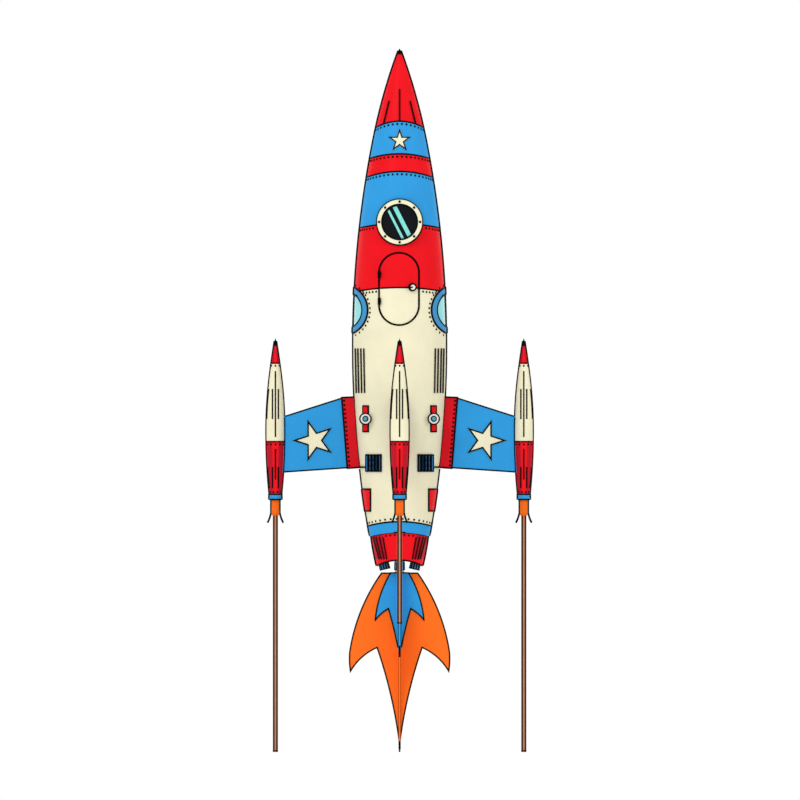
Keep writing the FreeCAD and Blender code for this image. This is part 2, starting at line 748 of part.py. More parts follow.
def hatch_door_knuckles():
    """On the door: the middle knuckle of each hinge."""
    knuckles = []
    for place in HINGE_PLACES:
        low, high = -KNUCKLE_HALF, KNUCKLE_HALF
        knuckle = cylinder(KNUCKLE_R, low, high).fuse(hinge_foot(DOOR_FOOT, low, high))
        knuckle = placed(knuckle.cut(cylinder(HINGE_PIN_R + GAP, low, high)), place)
        knuckles.append(knuckle.cut(HULL_BODY))
    return solids(knuckles)


def hatch_hinge_pins():
    pins = []
    for place in HINGE_PLACES:
        shank = cylinder(HINGE_PIN_R, -HINGE_HALF, HINGE_HALF)
        top = cylinder(PIN_HEAD_R, HINGE_HALF, HINGE_HALF + PIN_HEAD_HEIGHT)
        foot = cylinder(PIN_HEAD_R, -HINGE_HALF - PIN_HEAD_HEIGHT, -HINGE_HALF)
        pins.append(placed(shank.fuse([top, foot]), place))
    return solids(pins)


def hatch_knob():
    """A disc knob with a pointer groove from its centre to its rim, on a spindle through the door."""
    knob = revolve([
        (0, KNOB_LOW), (KNOB_R, KNOB_LOW), (KNOB_R, KNOB_HIGH - KNOB_CHAMFER),
        (KNOB_R - KNOB_CHAMFER, KNOB_HIGH), (0, KNOB_HIGH),
    ])
    groove = Part.makeBox(KNOB_R, POINTER_WIDTH, POINTER_DEPTH,
                          vec(0, -POINTER_WIDTH / 2, KNOB_HIGH - POINTER_DEPTH))
    spindle = cylinder(SPINDLE_R, -SPINDLE_DEPTH, KNOB_LOW)
    return placed(knob.cut(groove).fuse(spindle), KNOB_PLACE)


def hatch_latch():
    """The latch dog, pressed on the spindle; at rest it points the same way as the knob."""
    low = LATCH_TOP - LATCH_THICK
    half = LATCH_WIDTH / 2
    bar = Part.makeBox(LATCH_LENGTH, LATCH_WIDTH, LATCH_THICK, vec(0, -half, low))
    dog = bar.fuse(cylinder(half, low, LATCH_TOP)).cut(cylinder(SPINDLE_R, low, LATCH_TOP))
    return placed(dog, KNOB_PLACE)


# ---- trim on the hull ----
def side_louvres():
    layer = hull_skin(0.0, RIB_PROUD)
    taper = HULL.radius(LOUVRE_Z[0]) / HULL.radius(LOUVRE_Z[1])
    louvres = []
    for x in LOUVRE_X:
        louvre = layer.common(strip((x * taper, LOUVRE_Z[0]), (x, LOUVRE_Z[1]), LOUVRE_WIDTH))
        louvres += both_sides(louvre)
    return solids(louvres)


def lamp_straps():
    layer = hull_skin(0.0, STRAP_PROUD)
    strap = layer.common(rectangle(LAMP_X - STRAP_HALF_WIDTH, LAMP_X + STRAP_HALF_WIDTH, *STRAP_Z))
    return solids(both_sides(strap))


def front_and_rear(shape):
    return both_sides(shape) + [turned(part, 180) for part in both_sides(shape)]


def lamp_bezels():
    """Lamps that face straight forward and straight back, standing off the round hull."""
    body = Part.makeCylinder(LAMP_R, LAMP_BACK_Y - LAMP_FRONT_Y, vec(LAMP_X, LAMP_FRONT_Y, LAMP_Z), AXIS_Y)
    rim = [edge for edge in body.Edges if abs(edge.BoundBox.YMax - LAMP_FRONT_Y) < GAP]
    seat_depth = LENS_SEAT_DEPTH
    seat = Part.makeCylinder(LENS_R + GAP, seat_depth, vec(LAMP_X, LAMP_FRONT_Y, LAMP_Z), AXIS_Y)
    bezel = body.makeFillet(LAMP_ROUNDING, rim).cut(seat).cut(hull_solid(0.0)).cut(lamp_straps())
    return solids(front_and_rear(bezel))


def lamp_lenses():
    lens = cylinder(LENS_R, -LENS_SEAT_DEPTH, 0)
    ball_r = (LENS_R ** 2 + LENS_DOME ** 2) / (2 * LENS_DOME)
    ball = Part.makeSphere(ball_r, vec(0, 0, LENS_DOME - ball_r))
    dome = ball.common(cylinder(LENS_R, 0, LENS_DOME))
    place = FreeCAD.Placement(vec(LAMP_X, LAMP_FRONT_Y, LAMP_Z), FreeCAD.Rotation(AXIS_Z, AXIS_Y * -1))
    return solids(front_and_rear(placed(lens.fuse(dome), place)))


def cooling_grilles():
    plate = hull_skin(0.0, GRILLE_PROUD).common(rectangle(*GRILLE_X, *GRILLE_Z))
    groove_layer = hull_skin(GRILLE_PROUD - GRILLE_SLOT_DEPTH, GRILLE_PROUD + GRILLE_SLOT_DEPTH)
    pitch = (GRILLE_X[1] - GRILLE_X[0]) / (GRILLE_SLOTS + 1)
    grooves = []
    for step in range(1, GRILLE_SLOTS + 1):
        x = GRILLE_X[0] + pitch * step
        grooves.append(groove_layer.common(strip((x, GRILLE_Z[0]), (x, GRILLE_Z[1]), GRILLE_SLOT_WIDTH)))
    return solids(both_sides(cut_all(plate, grooves)))


def grille_pipes():
    """A thin pipe from each grille round to the fin's trailing edge."""
    layer = hull_skin(0.0, PIPE_PROUD)
    low = PIPE_Z - PIPE_HALF_WIDTH
    high = PIPE_Z + PIPE_HALF_WIDTH
    run = layer.common(rectangle(GRILLE_X[1], REACH, low, high))
    clear = Part.makeBox(REACH, 2 * ROOT_HALF_THICK, REACH, vec(0, -ROOT_HALF_THICK, low - REACH / 2))
    return solids(both_sides(run.cut(clear)))


def access_panels():
    panel = hull_skin(0.0, PANEL_PROUD).common(rectangle(PANEL_X, REACH, *PANEL_Z))
    return solids(both_sides(panel))


# ---- fins ----
ROOT_HALF_THICK = FIN_HALF_THICK + GAP + ROOT_PLATE_TIN
POD_CENTRE = vec(-POD_X, 0, 0)


def pod_solid(offset):
    """The left pod as a filled body, grown by offset."""
    return POD.solid(offset, POD_FOOT_Z).translated(POD_CENTRE)


def tab_boxes(span_x, centres_z, grow, low_y, high_y):
    """Tabs, or their slots when grown, through the hull's or the pod's skin."""
    height = 2 * (TAB_HALF_HEIGHT + grow)
    boxes = []
    for z in centres_z:
        corner = vec(span_x[0], low_y - grow, z - height / 2)
        boxes.append(Part.makeBox(span_x[1] - span_x[0], high_y - low_y + 2 * grow, height, corner))
    return boxes


def hull_tab_slots():
    slots = Part.makeCompound(tab_boxes(HULL_TAB_X, HULL_TAB_Z, GAP, -TAB_HALF_THICK, TAB_HALF_THICK))
    return [turned(slots, angle) for angle in QUARTER_TURNS.values()]


def fin():
    """The left fin: two pressed trays that meet edge to edge, each with tabs into hull and pod."""
    outline = polygon_edges([FIN_LEADING_TIP, FIN_LEADING_ROOT, ROOT_TOP_INNER, ROOT_LOW_INNER,
                             FIN_TRAILING_ROOT, FIN_TRAILING_TIP])
    face = Part.Face(Part.Wire(outline))
    outside = face.extrude(vec(0, FIN_HALF_THICK, 0)).cut(HULL_BODY).cut(pod_solid(0.0))
    hollow = face.makeOffset2D(-FIN_TIN).extrude(vec(0, FIN_HALF_THICK - FIN_TIN, 0))
    hollow = hollow.cut(hull_solid(FIN_TIN)).cut(pod_solid(FIN_TIN))
    tray = outside.cut(hollow)
    tabs = tab_boxes(HULL_TAB_X, HULL_TAB_Z, 0.0, 0.0, TAB_HALF_THICK)
    tabs += tab_boxes(POD_TAB_X, POD_TAB_Z, 0.0, 0.0, TAB_HALF_THICK)
    tray = tray.fuse(tabs)
    return solids([tray, tray.mirror(CENTRE, AXIS_Y)])


def fin_root_plates():
    """A red plate on each face of each fin, between the seam line and the hull."""
    outline = polygon_edges([FIN_LEADING_ROOT, ROOT_TOP_INNER, ROOT_LOW_INNER, FIN_TRAILING_ROOT])
    plate = Part.Face(Part.Wire(outline)).extrude(vec(0, ROOT_PLATE_TIN, 0))
    plate = plate.translated(vec(0, FIN_HALF_THICK, 0)).cut(HULL_BODY)
    pair = solids([plate, plate.mirror(CENTRE, AXIS_Y)])
    return solids([turned(pair, angle) for angle in QUARTER_TURNS.values()])


def fin_rivets():
    """Domed rivet heads along the seam line of every root plate."""
    ball_r = (RIVET_R ** 2 + RIVET_HEIGHT ** 2) / (2 * RIVET_HEIGHT)
    ball = Part.makeSphere(ball_r, vec(0, 0, RIVET_HEIGHT - ball_r))
    head = ball.common(cylinder(RIVET_R, 0, RIVET_HEIGHT))
    outward = FreeCAD.Rotation(AXIS_Z, AXIS_Y)
    face_y = FIN_HALF_THICK + ROOT_PLATE_TIN
    heads = []
    for step in range(RIVET_COUNT):
        share = step / (RIVET_COUNT - 1)
        x = RIVET_TOP[0] + (RIVET_LOW[0] - RIVET_TOP[0]) * share
        z = RIVET_TOP[1] + (RIVET_LOW[1] - RIVET_TOP[1]) * share
        heads.append(placed(head, FreeCAD.Placement(vec(x, face_y, z), outward)))
    row = solids(heads)
    pair = solids([row, row.mirror(CENTRE, AXIS_Y)])
    return solids([turned(pair, angle) for angle in QUARTER_TURNS.values()])


def stars():
    """Raised stars: one on the front and one on the back of the star band, and one on each fin face."""
    band_stars = hull_skin(0.0, STAR_PROUD).common(star(0, BAND_STAR_Z, BAND_STAR_R, 90))
    layer = Part.makeBox(2 * REACH, STAR_PROUD, HULL_TIP_Z, vec(-2 * REACH, FIN_HALF_THICK, 0))
    emblem = layer.common(star(FIN_STAR[0], FIN_STAR[1], FIN_STAR_R, 180))
    pair = solids([emblem, emblem.mirror(CENTRE, AXIS_Y)])
    return solids([band_stars] + [turned(pair, angle) for angle in QUARTER_TURNS.values()])


# ---- pods, drawn upright on the Z axis and then carried out to the left ----
def pod_skin(inner, outer, low_z, high_z):
    layer = POD.solid(outer, POD_FOOT_Z).cut(POD.solid(inner, POD_FOOT_Z))
    return layer.common(cylinder(2 * POD_R, low_z, high_z))


def pod_slots():
    slots = tab_boxes(POD_TAB_X, POD_TAB_Z, GAP, -TAB_HALF_THICK, TAB_HALF_THICK)
    return [slot.translated(POD_CENTRE * -1) for slot in slots]


def pod_section(low_z, high_z, ribs):
    """A pod shell with a tongue that reaches up inside the next one.

    Ribs are pressed in its front, its back and the side away from the hull, clear of the fin.
    """
    shell = pod_skin(-POD_TIN, 0.0, low_z, high_z)
    tongue = pod_skin(-2 * POD_TIN - GAP, -POD_TIN - GAP, high_z - POD_JOGGLE, high_z + POD_LAP)
    joggle = pod_skin(-2 * POD_TIN - GAP, -POD_TIN / 2, high_z - POD_JOGGLE, high_z)
    rib_layer = pod_skin(-POD_TIN / 2, POD_RIB_PROUD, low_z, high_z)
    outer_side = rib_layer.common(Part.makeBox(REACH, 2 * REACH, high_z, vec(-REACH, -REACH, 0)))
    pressed = []
    for start, end in ribs:
        tool = strip(start, end, POD_RIB_WIDTH)
        pressed += [rib_layer.common(tool), outer_side.common(turned(tool, 90))]
    return cut_all(shell.fuse([tongue, joggle] + pressed), pod_slots())


def pod_nose():
    return pod_skin(-POD_TIN, 0.0, POD_NOSE_Z, POD_TIP_Z)


def pod_shell():
    return pod_section(POD_TAIL_Z, POD_NOSE_Z, POD_RIBS)


def pod_tail():
    return pod_section(POD_COLLAR_Z, POD_TAIL_Z, TAIL_RIBS)


def pod_collar():
    """A band that closes the pod's foot round the exhaust."""
    low, high = POD_FOOT_Z, POD_COLLAR_Z
    ring = POD.solid(COLLAR_PROUD, POD_FOOT_Z).common(cylinder(2 * POD_R, low, high))
    return ring.cut(cylinder(EXHAUST_R, low, high))


def pod_exhaust():
    """A ferrule pressed in the collar that guides the leg, with four thin spurs round its foot."""
    bore = LEG_R + GAP
    head_bore = LEG_HEAD_R + GAP
    ferrule = revolve([
        (bore, EXHAUST_MOUTH[1]), EXHAUST_MOUTH, (EXHAUST_R, EXHAUST_CONE_Z), (EXHAUST_R, EXHAUST_TOP_Z),
        (head_bore, EXHAUST_TOP_Z), (head_bore, EXHAUST_SEAT_Z), (bore, EXHAUST_SEAT_Z),
    ])
    outer = [flat(point) for point in SPUR_OUTER]
    inner = [flat(point) for point in SPUR_INNER]
    spur = sheet([arc(*outer), arc(*inner), line(inner[2], outer[0])], SPUR_THICK, -SPUR_THICK / 2)
    return ferrule.fuse([turned(spur, angle) for angle in QUARTER_TURNS.values()])


def landing_leg():
    """A rod with a stop head; drawn all the way out, with its foot on the floor."""
    return revolve([
        (0, 0), (LEG_R - LEG_EDGE, 0), (LEG_R, LEG_EDGE), (LEG_R, LEG_HEAD_LOW_Z),
        (LEG_HEAD_R, LEG_HEAD_LOW_Z), (LEG_HEAD_R, LEG_TOP_Z), (0, LEG_TOP_Z),
    ])


def outboard(shape, angle):
    """Carry a shape from the Z axis out to a pod's place."""
    return turned(shape.translated(POD_CENTRE), angle)


def export(name, shape):
    shape.exportStep("parts/" + name + ".step")


HULL_PARTS = [
    nose_cone, star_band, red_band, upper_shell, cabin_shell, main_shell, tail_ring, tail_skirt,
    tail_bulkhead, engine_nozzles, flame_plate_wide, flame_plate_deep, flame_cores, stars,
    porthole_bezel, porthole_glass, porthole_screws, side_window_frames, side_window_panes,
    hatch_frame, hatch_door, hatch_hinge_leaves, hatch_door_knuckles, hatch_hinge_pins, hatch_knob,
    hatch_latch, side_louvres, lamp_straps, lamp_bezels, lamp_lenses, cooling_grilles, grille_pipes,
    access_panels, fin_root_plates, fin_rivets,
]
for make in HULL_PARTS:
    export(make.__name__, make())

left_fin = fin()
nose = pod_nose()
shell = pod_shell()
tail = pod_tail()
collar = pod_collar()
exhaust = pod_exhaust()
leg = landing_leg()
for side, angle in QUARTER_TURNS.items():
    lift = 0.0 if side in ("left", "right") else LEG_STROKE
    export(side + "_fin", turned(left_fin, angle))
    export(side + "_pod_nose", outboard(nose, angle))
    export(side + "_pod_shell", outboard(shell, angle))
    export(side + "_pod_tail", outboard(tail, angle))
    export(side + "_pod_exhaust", outboard(exhaust, angle))
    export(side + "_leg", outboard(leg.translated(vec(0, 0, lift)), angle))
export("pod_collars", solids([outboard(collar, angle) for angle in QUARTER_TURNS.values()]))
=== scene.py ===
import json
import math

import bmesh
import bpy
import numpy as np
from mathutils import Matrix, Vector
from mathutils.bvhtree import BVHTree

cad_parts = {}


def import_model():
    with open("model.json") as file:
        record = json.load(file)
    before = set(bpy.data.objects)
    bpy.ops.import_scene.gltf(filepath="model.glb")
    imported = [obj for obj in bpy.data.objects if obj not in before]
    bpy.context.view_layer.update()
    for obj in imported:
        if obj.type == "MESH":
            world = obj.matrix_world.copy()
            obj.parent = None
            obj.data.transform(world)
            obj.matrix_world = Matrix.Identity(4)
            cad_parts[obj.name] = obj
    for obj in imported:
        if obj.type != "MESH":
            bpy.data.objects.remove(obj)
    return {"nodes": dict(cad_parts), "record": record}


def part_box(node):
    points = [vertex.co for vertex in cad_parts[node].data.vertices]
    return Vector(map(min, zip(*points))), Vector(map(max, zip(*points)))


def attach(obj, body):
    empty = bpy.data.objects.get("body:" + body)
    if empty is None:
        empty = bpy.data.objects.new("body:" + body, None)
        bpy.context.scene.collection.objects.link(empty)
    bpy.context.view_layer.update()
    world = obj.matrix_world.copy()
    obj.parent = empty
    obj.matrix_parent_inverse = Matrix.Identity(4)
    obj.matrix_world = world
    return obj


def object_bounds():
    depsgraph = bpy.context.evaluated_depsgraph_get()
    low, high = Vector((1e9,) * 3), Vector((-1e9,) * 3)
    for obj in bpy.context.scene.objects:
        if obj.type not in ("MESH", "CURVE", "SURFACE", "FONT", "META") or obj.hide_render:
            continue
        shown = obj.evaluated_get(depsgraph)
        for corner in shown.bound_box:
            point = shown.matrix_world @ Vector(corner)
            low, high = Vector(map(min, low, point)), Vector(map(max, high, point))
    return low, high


# A tin toy rocket: the CAD nodes get printed-tin enamels, and on top of them stand the black
# printed lines, the domed rivets, the crimped side seams and the folded hems.
# Metres. +Z is up, the front with the hatch faces -Y.

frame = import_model()
CAD_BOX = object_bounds()
NODES = frame["nodes"]
MM = 0.001
FULL = 2 * math.pi
UP = np.array([0.0, 0.0, 1.0])
SIDES = ("left", "right", "front", "rear")

# ---- line and rivet sizes ----
LINE = 0.92 * MM  # width of a printed line round a plate
THIN_LINE = 0.75 * MM
SEAM_LINE = 0.84 * MM
LINE_PROUD = 0.17 * MM
LINE_TOP = 0.84  # a line's top face over its foot
SUNK = 0.06 * MM  # how far a piece reaches into what it stands on
MITRE = 0.42  # least cosine used where a line is widened at a corner
STAR_MITRE = 0.3
RIVET_R = 0.54 * MM
RIVET_HEIGHT = 0.36 * MM
RIVET_PITCH = 2.3 * MM
RIVET_DROP = 1.4 * MM  # from a seam to its row of rivets
RIVET_EDGES = 10
RIVET_RINGS = ((1.0, 0.5), (0.68, 0.9))  # shares of a head's radius and height
HEM_FOLD = 0.4  # share of a line's height left at a hem's outer edge

# ---- measuring the CAD ----
RAY_REACH = 0.05  # rays start this far from an axis
PROFILE_STEP = 0.4 * MM
NEAR = 0.35 * MM  # how far the hull's skin may stand from its measured profile
WELD = 0.005 * MM  # corners nearer than this are one corner
RIM_STEP = 0.7 * MM
SHARP_TURN = 0.42  # radians: a rim's corner sharper than this is kept
SQUARE_ON = 0.995  # least cosine of a face that looks along a direction
SKIN_SHARE = 0.75  # share of a plate's height above which its faces are its skin
OUTWARD = 0.6  # least outward part of a skin face's normal


# ---- reading the CAD meshes ----
def arrays(node):
    """A node's points, its triangles and their normals and centres."""
    mesh = NODES[node].data
    points = np.empty((len(mesh.vertices), 3))
    mesh.vertices.foreach_get("co", points.ravel())
    triangles = np.empty((len(mesh.polygons), 3), np.int32)
    mesh.polygons.foreach_get("vertices", triangles.ravel())
    corners = points[triangles]
    normals = np.cross(corners[:, 1] - corners[:, 0], corners[:, 2] - corners[:, 0])
    normals /= np.maximum(np.linalg.norm(normals, axis=1, keepdims=True), 1e-15)
    return points, triangles, normals, corners.mean(1)


def tree_of(nodes):
    points, triangles, count = [], [], 0
    for node in nodes:
        co, tri, _, _ = arrays(node)
        points.append(co)
        triangles.append(tri + count)
        count += len(co)
    return BVHTree.FromPolygons(np.concatenate(points).tolist(), np.concatenate(triangles).tolist())


def unit(v):
    return v / np.maximum(np.linalg.norm(v, axis=-1, keepdims=True), 1e-12)


def turns(count):
    """Cosine and sine of evenly spaced turns."""
    return [(math.cos(FULL * i / count), math.sin(FULL * i / count)) for i in range(count)]


class Turned:
    """The outside of a turned body: a profile measured by rays at the given azimuths. With near above 0
    each point asked for has a ray of its own too, taken where it hits that near the profile."""

    def __init__(self, nodes, axis, low, high, azimuths, near=0.0):
        self.axis = np.array(axis)
        self.near = near
        self.tree = tree_of(nodes)
        self.heights = np.arange(low, high, PROFILE_STEP)
        radii = []
        for z in self.heights:
            found = []
            for azimuth in azimuths:
                out = Vector((math.sin(azimuth), math.cos(azimuth), 0))
                start = Vector((*axis, z)) + out * RAY_REACH
                hit = self.tree.ray_cast(start, -out, RAY_REACH)[0]
                if hit is not None:
                    found.append((hit - start).length)
            radii.append(RAY_REACH - max(found) if found else 0.0)
        self.radii = np.array(radii)
        self.slopes = np.gradient(self.radii, self.heights)

    def radius(self, z):
        return float(np.interp(z, self.heights, self.radii))

    def found_radius(self, out, z):
        """The CAD's own radius in one direction where it is near the profile, else the profile's."""
        usual = self.radius(z)
        if self.near:
            away = Vector((*out, 0.0))
            hit = self.tree.ray_cast(Vector((*self.axis, z)) + away * RAY_REACH, -away, RAY_REACH)[0]
            if hit is not None:
                found = math.hypot(hit.x - self.axis[0], hit.y - self.axis[1])
                return found if abs(found - usual) < self.near else usual
        return usual

    def at(self, azimuth, z, proud=0.0):
        """Point and normal at an azimuth measured from the front, towards +X."""
        out = np.array([math.sin(azimuth), -math.cos(azimuth)])
        slope = float(np.interp(z, self.heights, self.slopes))
        normal = unit(np.array([out[0], out[1], -slope]))
        point = np.array([*(self.axis + out * self.found_radius(out, z)), z])
        return point + normal * proud, normal

    def seen(self, x, z, front=True):
        """Point and normal on the front or the back, at x from the axis."""
        azimuth = math.asin(max(-1.0, min(1.0, x / max(self.radius(z), 1e-9))))
        return self.at(azimuth if front else math.pi - azimuth, z)


REAR_RAYS = [math.radians(a) for a in (17, 27, 37, 45, 72, 80)]  # clear of the ribs and the fin
BANDS = ["nose_cone", "star_band", "red_band", "upper_shell", "cabin_shell", "main_shell",
         "tail_ring", "tail_skirt"]
HULL = Turned(BANDS + ["hatch_door"], (0.0, 0.0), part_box("tail_skirt")[0].z + 0.3 * MM,
              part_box("nose_cone")[1].z, REAR_RAYS, NEAR)


def pod_axis(side):
    low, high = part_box(side + "_pod_nose")
    return ((low.x + high.x) / 2, (low.y + high.y) / 2)


POD_NODES = ["left_pod_nose", "left_pod_shell", "left_pod_tail"]
POD_RAYS = [math.radians(a) for a in (-35, -45, -55, -145)]
POD_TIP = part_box("left_pod_nose")[1].z
POD_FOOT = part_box("pod_collars")[0].z
POD = Turned(POD_NODES, pod_axis("left"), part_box("pod_collars")[1].z, POD_TIP, POD_RAYS)


class Seam:
    """The arched lower edge of a hull band: its height at the middle and at the silhouette."""

    def __init__(self, node):
        points = arrays(node)[0]
        rear = points[(points[:, 1] > 0) & (abs(points[:, 0]) < 1.5 * MM)]
        self.side_z = float(points[:, 2].min())
        self.centre_z = float(rear[:, 2].min())
        rise = self.centre_z - self.side_z
        reach = float(abs(points[points[:, 2] < self.side_z + 0.05 * MM][:, 0]).max())
        self.bend = (reach ** 2 + rise ** 2) / (2 * rise)

    def z(self, x):
        return self.centre_z - self.bend + math.sqrt(self.bend ** 2 - x ** 2)


SEAMS = {node: Seam(node) for node in BANDS}


# ---- making pieces ----
def placed(name, data):
    """A new object in the scene."""
    made = bpy.data.objects.new(name, data)
    bpy.context.scene.collection.objects.link(made)
    return made


class Pile:
    """Points and faces gathered for one piece."""

    def __init__(self):
        self.points = []
        self.faces = []

    def add(self, points, faces):
        count = len(self.points)
        self.points += [tuple(map(float, p)) for p in points]
        self.faces += [tuple(count + i for i in face) for face in faces]

    def piece(self, name, body, slot="black_enamel", smooth=False):
        """Makes the piece, of black ink."""
        mesh = bpy.data.meshes.new(name)
        mesh.from_pydata(self.points, [], self.faces)
        shape = bmesh.new()
        shape.from_mesh(mesh)
        bmesh.ops.recalc_face_normals(shape, faces=shape.faces)
        for face in shape.faces:
            face.smooth = smooth
        shape.to_mesh(mesh)
        shape.free()
        mesh.materials.append(INK)
        piece = placed(name, mesh)
        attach(piece, body)


def sweep(pile, rows, closed):
    """Joins equal rings of points into a tube, shut at its ends unless it is a loop."""
    count, ring = len(rows), len(rows[0])
    faces = []
    for i in range(count if closed else count - 1):
        a, b = i * ring, ((i + 1) % count) * ring
        for j in range(ring):
            k = (j + 1) % ring
            faces.append((a + j, a + k, b + k, b + j))
    if not closed:
        faces.append(tuple(range(ring)))
        faces.append(tuple((count - 1) * ring + j for j in reversed(range(ring))))
    pile.add([p for row in rows for p in row], faces)


def sideways(points, normals, closed, limit=MITRE):
    """For each point of a path, the direction across it, lengthened at corners."""
    ahead = np.roll(points, -1, 0) - points
    behind = points - np.roll(points, 1, 0)
    if not closed:
        ahead[-1] = behind[-1]
        behind[0] = ahead[0]
    ahead, behind = unit(ahead), unit(behind)
    along = unit(ahead + behind)
    across = unit(np.cross(along, normals))
    bend = np.maximum((along * ahead).sum(1), limit)
    return across / bend[:, None]


def unzipped(path):
    return np.array([p for p, _ in path]), unit(np.array([n for _, n in path]))


def ribbon(pile, path, closed=False, width=LINE, proud=LINE_PROUD, depth=SUNK, shift=0.0, limit=MITRE):
    """A low raised line along a path of points and normals; shift moves it across the path."""
    points, normals = unzipped(path)
    across = sideways(points, normals, closed, limit)
    middle = points + across * shift
    half = across * width / 2
    low, high = normals * depth, normals * proud
    rows = np.stack([middle - half - low, middle - half * LINE_TOP + high,
                     middle + half * LINE_TOP + high, middle + half - low], axis=1)
    sweep(pile, rows, closed)


def hem(pile, path, thickness, inward, outward, closed=False):
    """A folded edge round a flat sheet, along the rim of its front face."""
    points, normals = unzipped(path)
    across = sideways(points, normals, closed)
    inner, outer = points - across * inward, points + across * outward
    lift, back = normals * LINE_PROUD, normals * thickness
    rows = np.stack([inner + lift, outer + lift * HEM_FOLD, outer - back - lift * HEM_FOLD,
                     inner - back - lift], axis=1)
    sweep(pile, rows, closed)


def rivet(pile, point, normal, radius=RIVET_R, height=RIVET_HEIGHT):
    """A domed head, shut underneath."""
    normal = unit(np.array(normal))
    aside = unit(np.cross(normal, UP if abs(normal[2]) < 0.9 else (1.0, 0.0, 0.0)))
    other = np.cross(normal, aside)
    points = []
    for share, lift in ((1.0, -SUNK), *((share, height * rise) for share, rise in RIVET_RINGS)):
        for c, s in turns(RIVET_EDGES):
            points.append(point + (aside * c + other * s) * radius * share + normal * lift)
    points.append(point + normal * height)
    top = len(points) - 1
    faces = [tuple(range(RIVET_EDGES))]
    for k in range(RIVET_EDGES):
        onward = (k + 1) % RIVET_EDGES
        for level in range(len(RIVET_RINGS)):
            a, b = level * RIVET_EDGES + k, level * RIVET_EDGES + onward
            faces.append((a, b, b + RIVET_EDGES, a + RIVET_EDGES))
        last = len(RIVET_RINGS) * RIVET_EDGES
        faces.append((last + k, last + onward, top))
    pile.add(points, faces)


# ---- rims of CAD faces ----
def rim_loops(node, keep, shortest=3 * MM, step=RIM_STEP):
    """The closed edges round the kept triangles of a node, each a path of points and normals."""
    points, triangles, normals, centres = arrays(node)
    kept = keep(normals, centres)
    welded, index = np.unique(np.round(points / WELD).astype(np.int64), axis=0, return_inverse=True)
    index = index.reshape(-1)
    chosen, chosen_normals = index[triangles[kept]], normals[kept]
    whole = (chosen[:, 0] != chosen[:, 1]) & (chosen[:, 1] != chosen[:, 2]) & (chosen[:, 2] != chosen[:, 0])
    chosen, chosen_normals = chosen[whole], chosen_normals[whole]
    leans = np.zeros((len(welded), 3))
    for corner in range(3):
        np.add.at(leans, chosen[:, corner], chosen_normals)
    sides = np.concatenate([chosen[:, [0, 1]], chosen[:, [1, 2]], chosen[:, [2, 0]]])
    edges = {(a, b): True for a, b in sides.tolist()}
    onward = {a: b for a, b in edges if (b, a) not in edges}
    loops = []
    while onward:
        start, at = next(iter(onward.items()))
        del onward[start]
        chain = [start]
        while at != start and at in onward:
            chain.append(at)
            at = onward.pop(at)
        ring = welded[chain] * WELD
        around = np.linalg.norm(np.roll(ring, -1, 0) - ring, axis=1).sum()
        if len(ring) > 3 and around > shortest:
            loops.append(evened(ring, unit(leans[chain]), step))
    return loops


def evened(points, normals, step):
    """A loop with evenly spaced points that keeps its sharp corners."""
    ahead = unit(np.roll(points, -1, 0) - points)
    behind = unit(points - np.roll(points, 1, 0))
    sharp = np.flatnonzero((ahead * behind).sum(1) < math.cos(SHARP_TURN))
    if len(sharp) == 0:
        sharp = np.array([0])
    rows = np.roll(np.hstack([points, normals]), -sharp[0], 0)
    stops = [int(s - sharp[0]) for s in sharp] + [len(rows)]
    rows = np.vstack([rows, rows[:1]])
    path = []
    for low, high in zip(stops, stops[1:]):
        run = rows[low:high + 1]
        along = np.concatenate([[0.0], np.cumsum(np.linalg.norm(np.diff(run[:, :3], axis=0), axis=1))])
        for place in np.linspace(0, along[-1], max(1, round(along[-1] / step)) + 1)[:-1]:
            spot = np.array([np.interp(place, along, column) for column in run.T])
            path.append((spot[:3], spot[3:]))
    return path


def off_axis(points):
    return np.hypot(points[:, 0], points[:, 1])


def hull_radii(centres):
    return np.interp(centres[:, 2], HULL.heights, HULL.radii)


def skin(proud):
    """Keeps the outer face of a plate that stands proud of the hull."""
    def keep(normals, centres):
        out = (normals[:, :2] * centres[:, :2]).sum(1) / np.maximum(off_axis(centres), 1e-9)
        return (off_axis(centres) > hull_radii(centres) + proud * SKIN_SHARE) & (out > OUTWARD)
    return keep


def facing(direction, beyond=None):
    """Keeps flat faces that look one way."""
    direction = np.array(direction, float)

    def keep(normals, centres):
        level = centres @ direction
        chosen = normals @ direction > SQUARE_ON
        return chosen if beyond is None else chosen & (level > beyond)
    return keep


# ---- materials ----
LIGHT_GAIN = 0.8  # allows for the studio's light


def srgb(red, green, blue, gain=LIGHT_GAIN):
    out = []
    for value in (red, green, blue):
        share = value / 255
        share = share / 12.92 if share <= 0.04045 else ((share + 0.055) / 1.055) ** 2.4
        out.append(min(1.0, share * gain))
    return (*out, 1.0)


